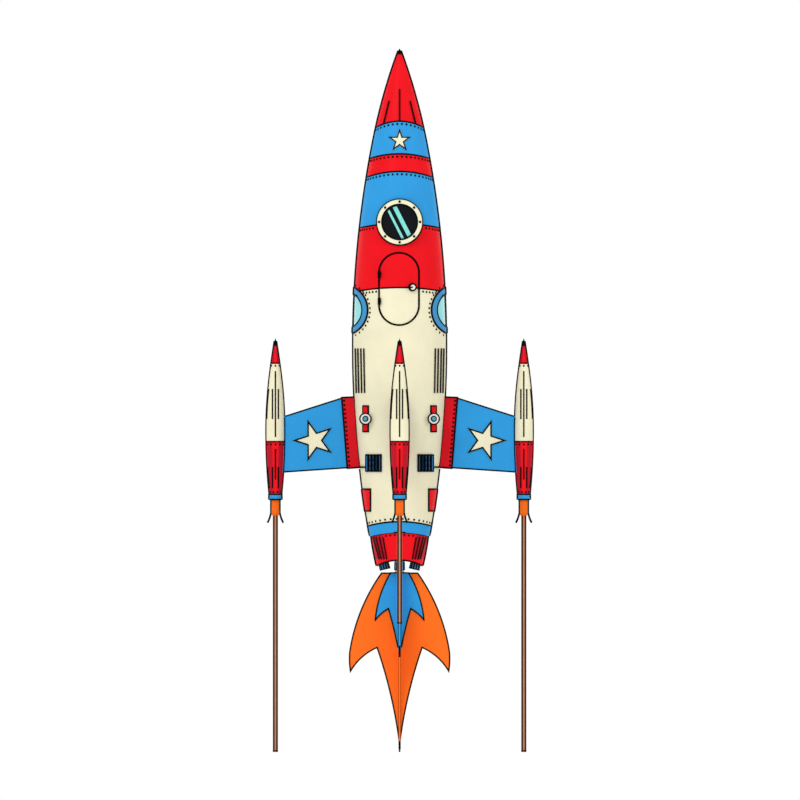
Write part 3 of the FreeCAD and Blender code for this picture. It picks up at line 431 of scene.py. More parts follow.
class Nodes:
    """A new node material, with short calls to add to it."""

    def __init__(self, name):
        self.material = bpy.data.materials.new(name)
        self.material.use_nodes = True
        self.tree = self.material.node_tree
        self.shader = self.tree.nodes["Principled BSDF"]
        self.place = self.new("ShaderNodeTexCoord").outputs["Object"]

    def new(self, kind, **settings):
        node = self.tree.nodes.new(kind)
        for key, value in settings.items():
            setattr(node, key, value)
        return node

    def link(self, source, target):
        if isinstance(source, (int, float, tuple)):
            target.default_value = source
        else:
            self.tree.links.new(source, target)

    def fill(self, node, **values):
        """Sets or links a node's inputs; _ in a key stands for a space."""
        for key, value in values.items():
            self.link(value, node.inputs[key.replace("_", " ")])
        return node.outputs[0]

    def maths(self, operation, *values):
        node = self.new("ShaderNodeMath", operation=operation)
        for value, socket in zip(values, node.inputs):
            self.link(value, socket)
        return node.outputs[0]

    def mix(self, share, first, second):
        node = self.new("ShaderNodeMix", data_type="RGBA")
        self.link(share, node.inputs["Factor"])
        self.link(first, node.inputs[6])
        self.link(second, node.inputs[7])
        return node.outputs[2]

    def noise(self, scale, detail=3.0, rough=0.55):
        node = self.new("ShaderNodeTexNoise")
        self.fill(node, Vector=self.place, Scale=scale, Detail=detail, Roughness=rough)
        return node.outputs["Fac"]

    def spread(self, value, low, high, new_low, new_high):
        node = self.new("ShaderNodeMapRange")
        self.fill(node, Value=value, From_Min=low, From_Max=high, To_Min=new_low, To_Max=new_high)
        return node.outputs["Result"]

    def stretched(self, fac, low=0.0, high=1.0):
        """The usual range of a noise, 0.3 to 0.7, brought to low..high."""
        return self.spread(fac, 0.3, 0.7, low, high)

    def squares(self, first, second):
        first, second = (self.maths("MULTIPLY", value, value) for value in (first, second))
        return self.maths("ADD", first, second)

    def axes(self):
        node = self.new("ShaderNodeSeparateXYZ")
        self.link(self.place, node.inputs[0])
        return node.outputs

    def set(self, **values):
        self.fill(self.shader, **values)

    def bump(self, height, strength, distance):
        node = self.new("ShaderNodeBump")
        self.set(Normal=self.fill(node, Strength=strength, Distance=distance, Height=height))


# Inks as their sRGB values on the tin.
CREAM_GAIN = 0.83
# the flame's inks are painted brighter than the same inks elsewhere, to make up for the shade between its
# crossed plates
FLAME_BRIGHTENING_GAIN = 0.95
RED_INK = (243, 24, 34)
# the darker red painted as shade on the sides of the pods and the skirt
SHADE_RED_INK = (190, 26, 42)
BLUE_INK = (53, 161, 229)
ORANGE_INK = (248, 112, 34)
CREAM_INK = (243, 237, 204)
PALE_TIN = srgb(236, 236, 232, 1.0)
WORN_TIN = srgb(190, 190, 186, 1.0)
DARK = (0.002, 0.002, 0.003, 1.0)
CLOUD_SHADE = 0.93  # how dark the ink's clouds are
GRAIN_SHADE = 0.86
GRAIN_SHARE = 0.25


def shade(colour, share):
    return tuple(c * share for c in colour[:3]) + (1.0,)


def clouds(nodes):
    """Soft patches, 0 to 1, where the ink lies thick or thin."""
    return nodes.spread(nodes.noise(70, 4.0), 0.35, 0.65, 0.0, 1.0)


def printed(nodes, colour, wear=True):
    """Printed enamel: cloudy ink, a fine screen grain, rubbed specks and a thin coat."""
    plain = isinstance(colour, tuple)
    ink = nodes.mix(clouds(nodes), shade(colour, CLOUD_SHADE) if plain else colour, colour)
    grain = nodes.stretched(nodes.noise(2600, 2.0))
    if plain:
        ink = nodes.mix(nodes.maths("MULTIPLY", grain, GRAIN_SHARE), ink, shade(colour, GRAIN_SHADE))
    if wear:
        specks = nodes.spread(nodes.noise(520, 6.0, 0.7), 0.735, 0.76, 0.0, 0.75)
        ink = nodes.mix(specks, ink, WORN_TIN)
    nodes.set(Base_Color=ink, Roughness=nodes.stretched(nodes.noise(160, 5.0), 0.24, 0.4))
    nodes.set(Specular_IOR_Level=0.015, Coat_Weight=0.01, Coat_Roughness=0.12)
    nodes.bump(nodes.noise(900, 2.0), 0.12, 0.00012)


def enamel(name, *rgb, wear=True, gain=LIGHT_GAIN):
    nodes = Nodes(name)
    printed(nodes, srgb(*rgb, gain), wear)
    return nodes.material


RED = enamel("red_enamel", *RED_INK)
FIN_RED = enamel("fin_red_enamel", 226, 27, 39)
BLUE = enamel("blue_enamel", *BLUE_INK)
WINDOW_BLUE = enamel("window_blue_enamel", 72, 153, 207)
GRILLE_BLUE = enamel("grille_blue_enamel", 50, 112, 168)
CREAM = enamel("cream_enamel", *CREAM_INK, gain=CREAM_GAIN)
WHITE = enamel("white_enamel", 250, 248, 236)
ORANGE = enamel("orange_enamel", *ORANGE_INK)
# the flame cores' blue, painted brighter than the hull's to offset their shade
FLAME_BRIGHTENED_BLUE = enamel("flame_blue_brightened_enamel", *BLUE_INK, gain=FLAME_BRIGHTENING_GAIN)


def ink():
    nodes = Nodes("black_ink")
    dark = nodes.mix(nodes.noise(800, 3.0), (0.0008, 0.0008, 0.001, 1.0), (0.003, 0.0028, 0.003, 1.0))
    nodes.set(Base_Color=dark, Roughness=nodes.stretched(nodes.noise(300, 3.0), 0.36, 0.52))
    nodes.set(Specular_IOR_Level=0.02)
    return nodes.material


def tinplate():
    nodes = Nodes("bare_tinplate")
    spangle = nodes.stretched(nodes.noise(240, 5.0, 0.65))
    tin = nodes.mix(spangle, (0.42, 0.43, 0.44, 1.0), (0.66, 0.66, 0.65, 1.0))
    nodes.set(Base_Color=tin, Metallic=1.0)
    nodes.set(Roughness=nodes.stretched(nodes.noise(120, 4.0), 0.26, 0.48))
    nodes.bump(nodes.noise(1500, 2.0), 0.1, 0.0001)
    return nodes.material


def teal_glass():
    nodes = Nodes("teal_glass")
    depth = nodes.stretched(nodes.noise(90, 2.0))
    teal = nodes.mix(depth, srgb(112, 208, 212), srgb(128, 226, 226))
    nodes.set(Base_Color=teal, Roughness=nodes.stretched(nodes.noise(300), 0.06, 0.14))
    nodes.set(Specular_IOR_Level=0.5, Coat_Weight=0.6, Coat_Roughness=0.04)
    return nodes.material


# the porthole's painted highlights: two slanting stripes of teal on the black glass
GLINT_LEAN = math.radians(27)
GLINT_STRIPES = ((-2.86 * MM, -1.67 * MM), (0.29 * MM, 2.33 * MM))
GLINT_REACH = 8.15 * MM


def porthole_glass():
    """Black glass with two slanting glints printed on its back, painted highlights standing for
    reflections.
    """
    nodes = Nodes("porthole_glass")
    low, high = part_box("porthole_glass")
    x, y, z = nodes.axes()
    across = nodes.maths("SUBTRACT", x, (low.x + high.x) / 2)
    up = nodes.maths("SUBTRACT", z, (low.z + high.z) / 2)
    lean = nodes.maths("ADD", nodes.maths("MULTIPLY", across, math.cos(GLINT_LEAN)),
                       nodes.maths("MULTIPLY", up, math.sin(GLINT_LEAN)))
    glint = 0.0
    for start, end in GLINT_STRIPES:
        past, short = nodes.maths("GREATER_THAN", lean, start), nodes.maths("LESS_THAN", lean, end)
        glint = nodes.maths("ADD", nodes.maths("MULTIPLY", past, short), glint)
    reach = nodes.maths("SQRT", nodes.squares(across, up))
    glint = nodes.maths("MULTIPLY", glint, nodes.maths("LESS_THAN", reach, GLINT_REACH))
    # the teal of the painted highlights
    teal = nodes.mix(nodes.noise(400), srgb(108, 214, 208), srgb(150, 236, 224))
    glass = nodes.mix(glint, (0.004, 0.005, 0.007, 1.0), teal)
    nodes.set(Base_Color=glass, Roughness=nodes.stretched(nodes.noise(300), 0.05, 0.12))
    nodes.set(Specular_IOR_Level=0.06)
    return nodes.material


def seam_height(nodes, x, seam):
    """Height of a seam's arc at x, for painting by."""
    bend = seam.bend
    root = nodes.maths("SQRT", nodes.maths("SUBTRACT", bend * bend, nodes.maths("MULTIPLY", x, x)))
    return nodes.maths("ADD", root, seam.centre_z - bend)


def quarter_share(nodes):
    """How far round a pod or a leg a point is from the nearest of its four faces, 0 to 0.5."""
    x, y, z = nodes.axes()
    across, deep = nodes.maths("ABSOLUTE", x), nodes.maths("ABSOLUTE", y)
    out = nodes.maths("SUBTRACT", nodes.maths("MAXIMUM", across, deep), abs(pod_axis("left")[0]))
    beside = nodes.maths("MINIMUM", across, deep)
    return nodes.maths("DIVIDE", nodes.maths("ABSOLUTE", nodes.maths("MULTIPLY", out, beside)),
                       nodes.squares(out, beside))


POD_SHADE_SHARE = (0.30, 0.35)  # where a pod's face turns to its painted shade at the side
LEG_LINE_SHARE = (0.27, 0.31)  # where a leg's dark drawn lines are


def pod_shaded_enamel(name, middle, side):
    """Printed enamel with painted shade, darker from the middle of each face to the pod's sides."""
    nodes = Nodes(name)
    share = nodes.spread(quarter_share(nodes), *POD_SHADE_SHARE, 0.0, 1.0)
    printed(nodes, nodes.mix(share, srgb(*middle), srgb(*side)))
    return nodes.material


SKIRT_SHADE_X = 6.3 * MM  # where the skirt's darker fields, painted shade, begin at its lip
SKIRT_SHADE_LEAN = 0.19  # and how far they draw apart with height


def skirt_shaded_enamel():
    """Red, with a darker field of painted shade on each side where the ribs are."""
    nodes = Nodes("skirt_shaded_enamel")
    x, y, z = nodes.axes()
    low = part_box("tail_bulkhead")[0].z
    rise = nodes.maths("MULTIPLY", nodes.maths("SUBTRACT", z, low), SKIRT_SHADE_LEAN)
    edge = nodes.maths("ADD", rise, SKIRT_SHADE_X)
    beside = nodes.maths("GREATER_THAN", nodes.maths("ABSOLUTE", x), edge)
    # the painted shade lies beside the edge and above the bulkhead's foot
    painted_shade = nodes.maths("MULTIPLY", beside, nodes.maths("GREATER_THAN", z, low))
    printed(nodes, nodes.mix(painted_shade, srgb(*RED_INK), srgb(*SHADE_RED_INK)))
    return nodes.material


def door_enamel():
    """The door carries the cabin's red above the seam line and the hull's cream below it."""
    nodes = Nodes("door_enamel")
    x, y, z = nodes.axes()
    above = nodes.maths("GREATER_THAN", z, seam_height(nodes, x, SEAMS["cabin_shell"]))
    red, cream = srgb(*RED_INK), srgb(*CREAM_INK, CREAM_GAIN)
    thin = nodes.mix(above, shade(cream, CLOUD_SHADE), shade(red, CLOUD_SHADE))
    printed(nodes, nodes.mix(clouds(nodes), thin, nodes.mix(above, cream, red)))
    return nodes.material


CORE_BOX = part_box("flame_cores")
TAB_Z = CORE_BOX[1].z + 0.1 * MM  # above it the flame plates are bare tabs
TIP_Z = CORE_BOX[0].z - 0.6 * MM  # the cores' dark tips
TIP_REACH = 2.9 * MM
FOOT_Z = 5.5 * MM  # the deep flame's tips are dark below this


def flame_brightened_enamel():
    """Orange, painted brighter to offset the shade between the crossed plates, with the tab above the
    flame's top edge left as bare tin.
    """
    nodes = Nodes("flame_brightened_enamel")
    x, y, z = nodes.axes()
    tab = nodes.maths("GREATER_THAN", z, TAB_Z)
    printed(nodes, nodes.mix(tab, srgb(*ORANGE_INK, FLAME_BRIGHTENING_GAIN), PALE_TIN))
    return nodes.material


def flame_edge_enamel():
    """The deep flame's cut edge: blue beside the cores, orange below them, dark at the tips."""
    nodes = Nodes("flame_edge_enamel")
    x, y, z = nodes.axes()
    beside = nodes.maths("GREATER_THAN", z, CORE_BOX[0].z)
    tone = nodes.mix(beside, srgb(*ORANGE_INK), srgb(*BLUE_INK))
    tip = nodes.maths("LESS_THAN", nodes.maths("ABSOLUTE", nodes.maths("SUBTRACT", z, TIP_Z)), TIP_REACH)
    foot = nodes.maths("LESS_THAN", z, FOOT_Z)
    tone = nodes.mix(nodes.maths("GREATER_THAN", z, TAB_Z), tone, PALE_TIN)
    printed(nodes, nodes.mix(nodes.maths("MAXIMUM", tip, foot), tone, DARK))
    return nodes.material


def leg_copper():
    """A copper rod with four dark drawn lines along it, a quarter turn apart."""
    nodes = Nodes("leg_copper")
    dark = nodes.spread(quarter_share(nodes), *LEG_LINE_SHARE, 0.0, 1.0)
    streak = nodes.noise(320, 4.0)
    copper = nodes.mix(streak, srgb(176, 118, 88), srgb(206, 142, 106))
    nodes.set(Base_Color=nodes.mix(dark, copper, srgb(22, 12, 10, 1.0)))
    nodes.set(Roughness=nodes.stretched(streak, 0.28, 0.42), Metallic=0.0, Specular_IOR_Level=0.12)
    nodes.bump(nodes.noise(1400, 2.0), 0.1, 0.0001)
    return nodes.material


INK = ink()
TINPLATE = tinplate()
TEAL = teal_glass()
LENS_TEAL = enamel("lens_teal", 92, 170, 184, wear=False)
PORTHOLE = porthole_glass()
DOOR = door_enamel()
FLAME = flame_brightened_enamel()
FLAME_EDGE = flame_edge_enamel()
# the pods' red, with painted shade down their sides
POD_SHADED_RED = pod_shaded_enamel("pod_red_shaded_enamel", RED_INK, SHADE_RED_INK)
# the skirt's red, with painted shade on its sides
SKIRT_SHADED_RED = skirt_shaded_enamel()
NOZZLE_BLUE = enamel("nozzle_blue_enamel", 84, 146, 190)
COPPER = leg_copper()


# ---- painting the CAD nodes ----
HULL_RIB_PROUD = 0.06 * MM  # a face further out than this from the plain body is a rib's
POD_RIB_PROUD = 0.05 * MM
GROOVE_TOP = 0.5 * MM  # the grilles' faces below this height are their slots
RIBBED = ("nose_cone", "tail_skirt")
KNOB_JOINT = next(j for j in frame["record"]["behaviour"]["joints"] if j["name"] == "hatch_knob_turn")
KNOB_OUT = np.array(KNOB_JOINT["axis"])
glass_normals = arrays("porthole_glass")[2]
BEZEL_OUT = unit(glass_normals[glass_normals[:, 1] < -0.9].mean(0))


def paint(node, material, *parts):
    """One material over a node, and others on the triangles that each (keep, material) picks."""
    mesh = NODES[node].data
    mesh.materials.clear()
    mesh.materials.append(material)
    index = np.zeros(len(mesh.polygons), np.int32)
    if parts:
        _, _, normals, centres = arrays(node)
    for number, (keep, other) in enumerate(parts, 1):
        mesh.materials.append(other)
        index[keep(normals, centres)] = number
    mesh.polygons.foreach_set("material_index", index)


def inside_out(normals, centres):
    """Faces that look towards the hull's axis."""
    return (normals[:, :2] * centres[:, :2]).sum(1) < 0


def pressed(axis, body, proud):
    """Faces of ribs that stand out from a turned body."""
    def keep(normals, centres):
        away = np.hypot(centres[:, 0] - axis[0], centres[:, 1] - axis[1])
        return away > np.interp(centres[:, 2], body.heights, body.radii) + proud
    return keep


def groove(normals, centres):
    """The sunk slots of the cooling grilles."""
    return off_axis(centres) < hull_radii(centres) + GROOVE_TOP


def cut_edge(normals, centres):
    """The deep flame's faces that don't look along its thickness."""
    return abs(normals[:, 0]) < 0.5


def bezel_walls(normals, centres):
    """The bezel's inner and outer walls, all but its front face."""
    return normals @ BEZEL_OUT < 0.9


def knob_sides(normals, centres):
    """The knob's rim, chamfer and pointer groove, all but its flat top."""
    height = centres @ KNOB_OUT
    return ~((normals @ KNOB_OUT > 0.98) & (height > height.max() - 0.02 * MM))


def spur_sides(axis):
    """The flat faces of the exhaust's thin spurs."""
    def keep(normals, centres):
        out = unit(centres[:, :2] - np.array(axis))
        return abs(normals[:, 1] * out[:, 0] - normals[:, 0] * out[:, 1]) > 0.7
    return keep


SHELLS = {"nose_cone": RED, "star_band": BLUE, "red_band": RED, "upper_shell": BLUE, "cabin_shell": RED,
          "main_shell": CREAM, "tail_ring": BLUE, "tail_skirt": SKIRT_SHADED_RED}
HULL_RIB = pressed((0.0, 0.0), HULL, HULL_RIB_PROUD)
for node, material in SHELLS.items():
    paint(node, material, (inside_out, TINPLATE), *([(HULL_RIB, INK)] if node in RIBBED else []))

PLAIN = {
    INK: ("porthole_screws", "hatch_frame", "hatch_hinge_leaves", "hatch_door_knuckles", "hatch_hinge_pins",
          "side_louvres", "grille_pipes", "fin_rivets"),
    TINPLATE: ("tail_bulkhead", "hatch_latch"),
    RED: ("lamp_straps", "access_panels"),
    NOZZLE_BLUE: ("engine_nozzles",), FLAME: ("flame_plate_wide",), FLAME_BRIGHTENED_BLUE: ("flame_cores",),
    CREAM: ("stars",), PORTHOLE: ("porthole_glass",), WINDOW_BLUE: ("side_window_frames",),
    TEAL: ("side_window_panes",), WHITE: ("lamp_bezels",), LENS_TEAL: ("lamp_lenses",),
    FIN_RED: ("fin_root_plates",), BLUE: ("pod_collars",),
}
for material, nodes in PLAIN.items():
    for node in nodes:
        paint(node, material)
paint("cooling_grilles", GRILLE_BLUE, (groove, INK))
paint("porthole_bezel", CREAM, (bezel_walls, INK))
paint("hatch_door", DOOR, (inside_out, TINPLATE))
paint("flame_plate_deep", FLAME, (cut_edge, FLAME_EDGE))
paint("hatch_knob", WHITE, (knob_sides, INK))
for side in SIDES:
    axis = pod_axis(side)
    rib = pressed(axis, POD, POD_RIB_PROUD)
    for part, *paints in (("_fin", BLUE), ("_pod_nose", POD_SHADED_RED), ("_pod_shell", CREAM, (rib, INK)),
                          ("_pod_tail", POD_SHADED_RED, (rib, INK)), ("_leg", COPPER),
                          ("_pod_exhaust", ORANGE, (spur_sides(axis), INK))):
        paint(side + part, *paints)


# ---- seams ----
SEAM_STEP = math.radians(2.5)
FOOT_STEPS = 144
DOOR_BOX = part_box("hatch_door")
DOOR_HALF = (DOOR_BOX[1].x - DOOR_BOX[0].x) / 2
BEZEL_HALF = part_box("porthole_bezel")[1].x
UPPER, CABIN = SEAMS["upper_shell"], SEAMS["cabin_shell"]

# the side windows' frames are round: a circle through their near side and their top
WINDOW_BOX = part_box("side_window_frames")
WINDOW_Z = (WINDOW_BOX[1].z + WINDOW_BOX[0].z) / 2
window_points = arrays("side_window_frames")[0]
window_near = float(abs(window_points[:, 0]).min())
window_run = float(abs(window_points[np.argmax(window_points[:, 2]), 0])) - window_near
window_rise = WINDOW_BOX[1].z - WINDOW_Z
WINDOW_R = (window_run ** 2 + window_rise ** 2) / (2 * window_run)
WINDOW_X = window_near + WINDOW_R


def window_side(z):
    """Where the window's frame begins at height z."""
    return WINDOW_X - math.sqrt(max(0.0, WINDOW_R ** 2 - (z - WINDOW_Z) ** 2))


def seam_point(seam, azimuth, shift=0.0):
    """The seam's point and normal at an azimuth, moved up by shift."""
    z = seam.z(0.0) + shift
    for _ in range(5):
        z = seam.z(HULL.radius(z) * math.sin(azimuth)) + shift
    return HULL.at(azimuth, z)


def azimuth_at(seam, x):
    """Azimuth where the seam is x from the middle."""
    return math.asin(min(1.0, x / HULL.radius(seam.z(x))))


def seam_line(pile, seam, start, end):
    """The line along a seam between two azimuths, or all the way round."""
    whole = end - start == FULL
    count = max(8, round(abs(end - start) / SEAM_STEP))
    path = [seam_point(seam, start + (end - start) * i / count) for i in range(count + (not whole))]
    ribbon(pile, path, closed=whole, width=SEAM_LINE)


CABIN_SIDE = window_side(CABIN.side_z + 0.8 * MM)
bezel_edge = azimuth_at(UPPER, BEZEL_HALF - 0.5 * MM)
door_gap = azimuth_at(CABIN, DOOR_HALF + 0.4 * MM)
door_edge = azimuth_at(CABIN, DOOR_HALF - 0.2 * MM)
window_edge = azimuth_at(CABIN, CABIN_SIDE + 0.5 * MM)

seams = Pile()
for node in ("nose_cone", "star_band", "red_band", "main_shell", "tail_ring"):
    seam_line(seams, SEAMS[node], 0.0, FULL)
seam_line(seams, UPPER, bezel_edge, FULL - bezel_edge)
seam_line(seams, CABIN, door_gap, window_edge)
seam_line(seams, CABIN, -window_edge, -door_gap)
seam_line(seams, CABIN, math.pi - window_edge, math.pi + window_edge)
foot_line = [seam_point(SEAMS["tail_skirt"], FULL * i / FOOT_STEPS, LINE / 2) for i in range(FOOT_STEPS)]
ribbon(seams, foot_line, closed=True, width=SEAM_LINE)
seams.piece("hull_seam_lines", "hull")

door_seam = Pile()
seam_line(door_seam, CABIN, -door_edge, door_edge)
door_seam.piece("hatch_door_seam_line", "hatch")

# ---- the hull's rivets ----
CABIN_DROP = 1.5 * MM
SKIRT_DROP = 1.3 * MM
SKIRT_ROW_END = 6.8 * MM  # the skirt's row stops at its ribs
TAIL_PITCH = 3.0 * MM
SKIRT_RIVET_R = 0.46 * MM
WINDOW_RIVET_R = WINDOW_R + 1.15 * MM
WINDOW_RIVETS = 18  # on each half of a window, less those behind the hull's side


def rivet_ring(pile, seam, shift, pitch=RIVET_PITCH):
    """Rivets along a seam all the way round."""
    count = round(FULL * HULL.radius(seam.centre_z + shift) / pitch)
    for i in range(count):
        rivet(pile, *seam_point(seam, FULL * (i + 0.5) / count, shift))


def rivet_row(pile, seam, shift, low_x, high_x, front, radius=RIVET_R):
    """Rivets along a seam on the front or the back, from low_x to high_x either side of the middle."""
    middle_r = HULL.radius(seam.centre_z + shift)
    low, high = (math.asin(min(1.0, x / middle_r)) for x in (low_x, high_x))
    count = max(1, round((high - low) * middle_r / RIVET_PITCH))
    for sign in (-1, 1):
        for i in range(count + 1):
            if i > 0 or low > 0.0 or sign == -1:
                azimuth = sign * (low + (high - low) * i / count)
                azimuth = azimuth if front else math.pi - azimuth
                rivet(pile, *seam_point(seam, azimuth, shift), radius=radius)


rivets = Pile()
for node in ("nose_cone", "star_band", "red_band"):
    rivet_ring(rivets, SEAMS[node], -RIVET_DROP)
upper_reach, cabin_reach = HULL.radius(UPPER.side_z), CABIN_SIDE - 1.6 * MM
rivet_row(rivets, UPPER, -RIVET_DROP, BEZEL_HALF + 1.4 * MM, upper_reach * 0.998, True)
rivet_row(rivets, UPPER, -RIVET_DROP, 0.0, upper_reach * 0.985, False)
rivet_row(rivets, CABIN, -CABIN_DROP, DOOR_HALF + 1.9 * MM, cabin_reach, True)
rivet_row(rivets, CABIN, -CABIN_DROP, 0.0, cabin_reach, False)
rivet_ring(rivets, SEAMS["main_shell"], RIVET_DROP, TAIL_PITCH)
for front in (True, False):
    rivet_row(rivets, SEAMS["tail_ring"], -SKIRT_DROP, 0.0, SKIRT_ROW_END, front, SKIRT_RIVET_R)
    for sign in (-1, 1):
        for i in range(-WINDOW_RIVETS, WINDOW_RIVETS + 1):
            angle = (i + 0.5) * RIVET_PITCH / WINDOW_RIVET_R
            x = WINDOW_X - WINDOW_RIVET_R * math.cos(angle)
            z = WINDOW_Z + WINDOW_RIVET_R * math.sin(angle)
            if x < HULL.radius(z) * 0.995:
                rivet(rivets, *HULL.seen(sign * x, z, front))
rivets.piece("hull_rivets", "hull", smooth=True)

# ---- hatch outline: half on the door, half on the hull ----
HATCH_LINE = 0.3 * MM
HATCH_LINE_PROUD = 0.24 * MM
STADIUM_STEP = 0.8 * MM


def hatch_outline(name, body, grow):
    """A line round the door, grow outside its edge, with half-round ends."""
    half = DOOR_HALF + grow
    low, high = DOOR_BOX[0].z + DOOR_HALF, DOOR_BOX[1].z - DOOR_HALF
    middle = (DOOR_BOX[1].x + DOOR_BOX[0].x) / 2
    side, turn = round((high - low) / STADIUM_STEP), round(math.pi * half / STADIUM_STEP)
    up = [(half, low + (high - low) * i / side) for i in range(side)]
    over = [(half * math.cos(math.pi * i / turn), high + half * math.sin(math.pi * i / turn))
            for i in range(turn)]
    spots = up + over + [(-x, low + high - z) for x, z in up + over]
    line = Pile()
    ribbon(line, [HULL.seen(middle + x, z) for x, z in spots], closed=True, width=HATCH_LINE,
           proud=HATCH_LINE_PROUD)
    line.piece(name, body)


hatch_outline("hatch_door_outline", "hatch", -0.15 * MM)
hatch_outline("hatch_opening_outline", "hull", 0.48 * MM)

# ---- outlines of plates on the hull ----
BAND_STAR_LINE = 0.68 * MM
BAND_STAR_STEP = 2.3 * MM
BAND_STAR_LOW = 0.29
BEZEL_LINE = 0.6 * MM
PLATES = (("side_window_frames", 0.35 * MM, LINE), ("access_panels", 0.3 * MM, LINE),
          ("lamp_straps", 0.4 * MM, THIN_LINE), ("cooling_grilles", 0.6 * MM, THIN_LINE))


def outline(pile, node, keep, shortest=3 * MM, step=RIM_STEP, **line):
    """A line along every rim of a node's kept faces."""
    for path in rim_loops(node, keep, shortest, step):
        ribbon(pile, path, closed=True, **line)


def band_star(normals, centres):
    return skin(0.35 * MM)(normals, centres) & (centres[:, 2] > BAND_STAR_LOW)


outlines = Pile()
for node, proud, width in PLATES:
    outline(outlines, node, skin(proud), width=width, depth=proud + SUNK, shift=-width / 4)
outline(outlines, "stars", band_star, step=BAND_STAR_STEP, width=BAND_STAR_LINE, depth=0.3 * MM,
        shift=-BAND_STAR_LINE / 2, limit=STAR_MITRE)
outline(outlines, "porthole_bezel", facing(BEZEL_OUT), shortest=20 * MM, width=BEZEL_LINE,
        depth=0.5 * MM, shift=-BEZEL_LINE / 3)
for way in (-1, 1):
    outline(outlines, "lamp_bezels", facing((0, way, 0)), width=THIN_LINE, depth=0.3 * MM)
outlines.piece("hull_trim_outlines", "hull")

# ---- fins ----
FIN_WAYS = {"left": (-1, 0), "right": (1, 0), "front": (-1, 1), "rear": (1, 1)}  # sense and axis outward
FIN_STAR_LINE = 0.8 * MM
POD_SIDE_LINE = 0.6 * MM
POD_SIDE_TOP = 167.3 * MM  # the fin's top corner beside the pod
FIN_PLATES_TOP = 0.19
LONG_EDGE = 20  # points in a fin's upper or lower edge, at least


def runs_of(path, wanted):
    """The stretches of a loop whose points are wanted, each with whether it is the whole loop."""
    flags = [wanted(p) for p, _ in path]
    if all(flags):
        return [(path, True)]
    start = flags.index(False)
    runs, run = [], []
    for i in range(len(path) + 1):
        k = (start + i) % len(path)
        if flags[k] and i < len(path):
            run.append(path[k])
        elif run:
            if len(run) > 1:
                runs.append((run, False))
            run = []
    return runs


def on_fin(face, sense, out_axis):
    """Keeps one side of what is fixed on one fin, away from the hull's bands."""
    def keep(normals, centres):
        return ((normals @ face > SQUARE_ON) & (centres @ face > 0) &
                (centres[:, out_axis] * sense > 0.01) & (centres[:, 2] < FIN_PLATES_TOP))
    return keep


fin_hems, star_lines = Pile(), Pile()
for side in SIDES:
    sense, out_axis = FIN_WAYS[side]
    way = np.eye(3)[1 - out_axis]
    low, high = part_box(side + "_fin")
    thick = (high - low)[1 - out_axis]
    outward = np.array([*pod_axis(side), 0.0])
    pod_reach = float(np.linalg.norm(outward))
    outward /= pod_reach
    for path in rim_loops(side + "_fin", facing(way, thick / 2 - 0.05 * MM), shortest=40 * MM):
        points = np.array([p for p, _ in path])
        step = np.roll(points, -1, 0) - np.roll(points, 1, 0)
        level = abs(step[:, out_axis]) > abs(step[:, 2])
        marked = {tuple(p): bool(flag) for p, flag in zip(points, level)}
        for run, _ in runs_of(path, lambda p: marked[tuple(p)]):
            if len(run) > LONG_EDGE:
                hem(fin_hems, run, thick, inward=0.6 * MM, outward=0.12 * MM)
    for face in (way, -way):
        path = []
        for z in np.linspace(low.z + 0.1 * MM, POD_SIDE_TOP, 40):
            beside = outward * (pod_reach - POD.radius(z) - 0.25 * MM)
            path.append((beside + face * thick / 2 + UP * z, face))
        ribbon(fin_hems, path, width=POD_SIDE_LINE)
        keep = on_fin(face, sense, out_axis)
        outline(fin_hems, "fin_root_plates", keep, width=LINE, depth=0.45 * MM)
        outline(star_lines, "stars", keep, step=1.0, width=FIN_STAR_LINE, shift=-FIN_STAR_LINE / 2,
                limit=STAR_MITRE)
fin_hems.piece("fin_outlines", "hull")
star_lines.piece("fin_star_outlines", "hull")

# ---- flame ----
CORE_LINE = 0.7 * MM
DEEP_LINE = 0.62 * MM
CROSSING = 0.9 * MM  # lines stop this far from where the two plates cross
FLAME_TOP_Z = 89.9 * MM
flame_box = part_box("flame_plate_wide")
flame_thick = flame_box[1].y - flame_box[0].y


def below_top(p):
    return p[2] < FLAME_TOP_Z


flame_hem = Pile()
for path in rim_loops("flame_plate_wide", facing((0, -1, 0))):
    for run, shut in runs_of(path, below_top):
        hem(flame_hem, run, flame_thick, inward=0.62 * MM, outward=0.1 * MM, closed=shut)
for sign in (-1, 1):
    for path in rim_loops("flame_plate_deep", facing((sign, 0, 0))):
        for run, shut in runs_of(path, lambda p: below_top(p) and abs(p[1]) > 1.0 * MM and p[2] > 0.8 * MM):
            ribbon(flame_hem, run, closed=shut, width=DEEP_LINE, shift=-0.34 * MM)
for way in ((0, -1, 0), (0, 1, 0), (1, 0, 0), (-1, 0, 0)):
    other = 1 if way[0] else 0
    deep = {"shift": -CORE_LINE / 2} if way[0] else {"shift": -0.1 * MM, "depth": 0.3 * MM}
    for path in rim_loops("flame_cores", facing(way, 0.5 * MM)):
        for run, shut in runs_of(path, lambda p: below_top(p) and abs(p[other]) > CROSSING):
            ribbon(flame_hem, run, closed=shut, width=CORE_LINE, **deep)
flame_hem.piece("flame_outlines", "hull")

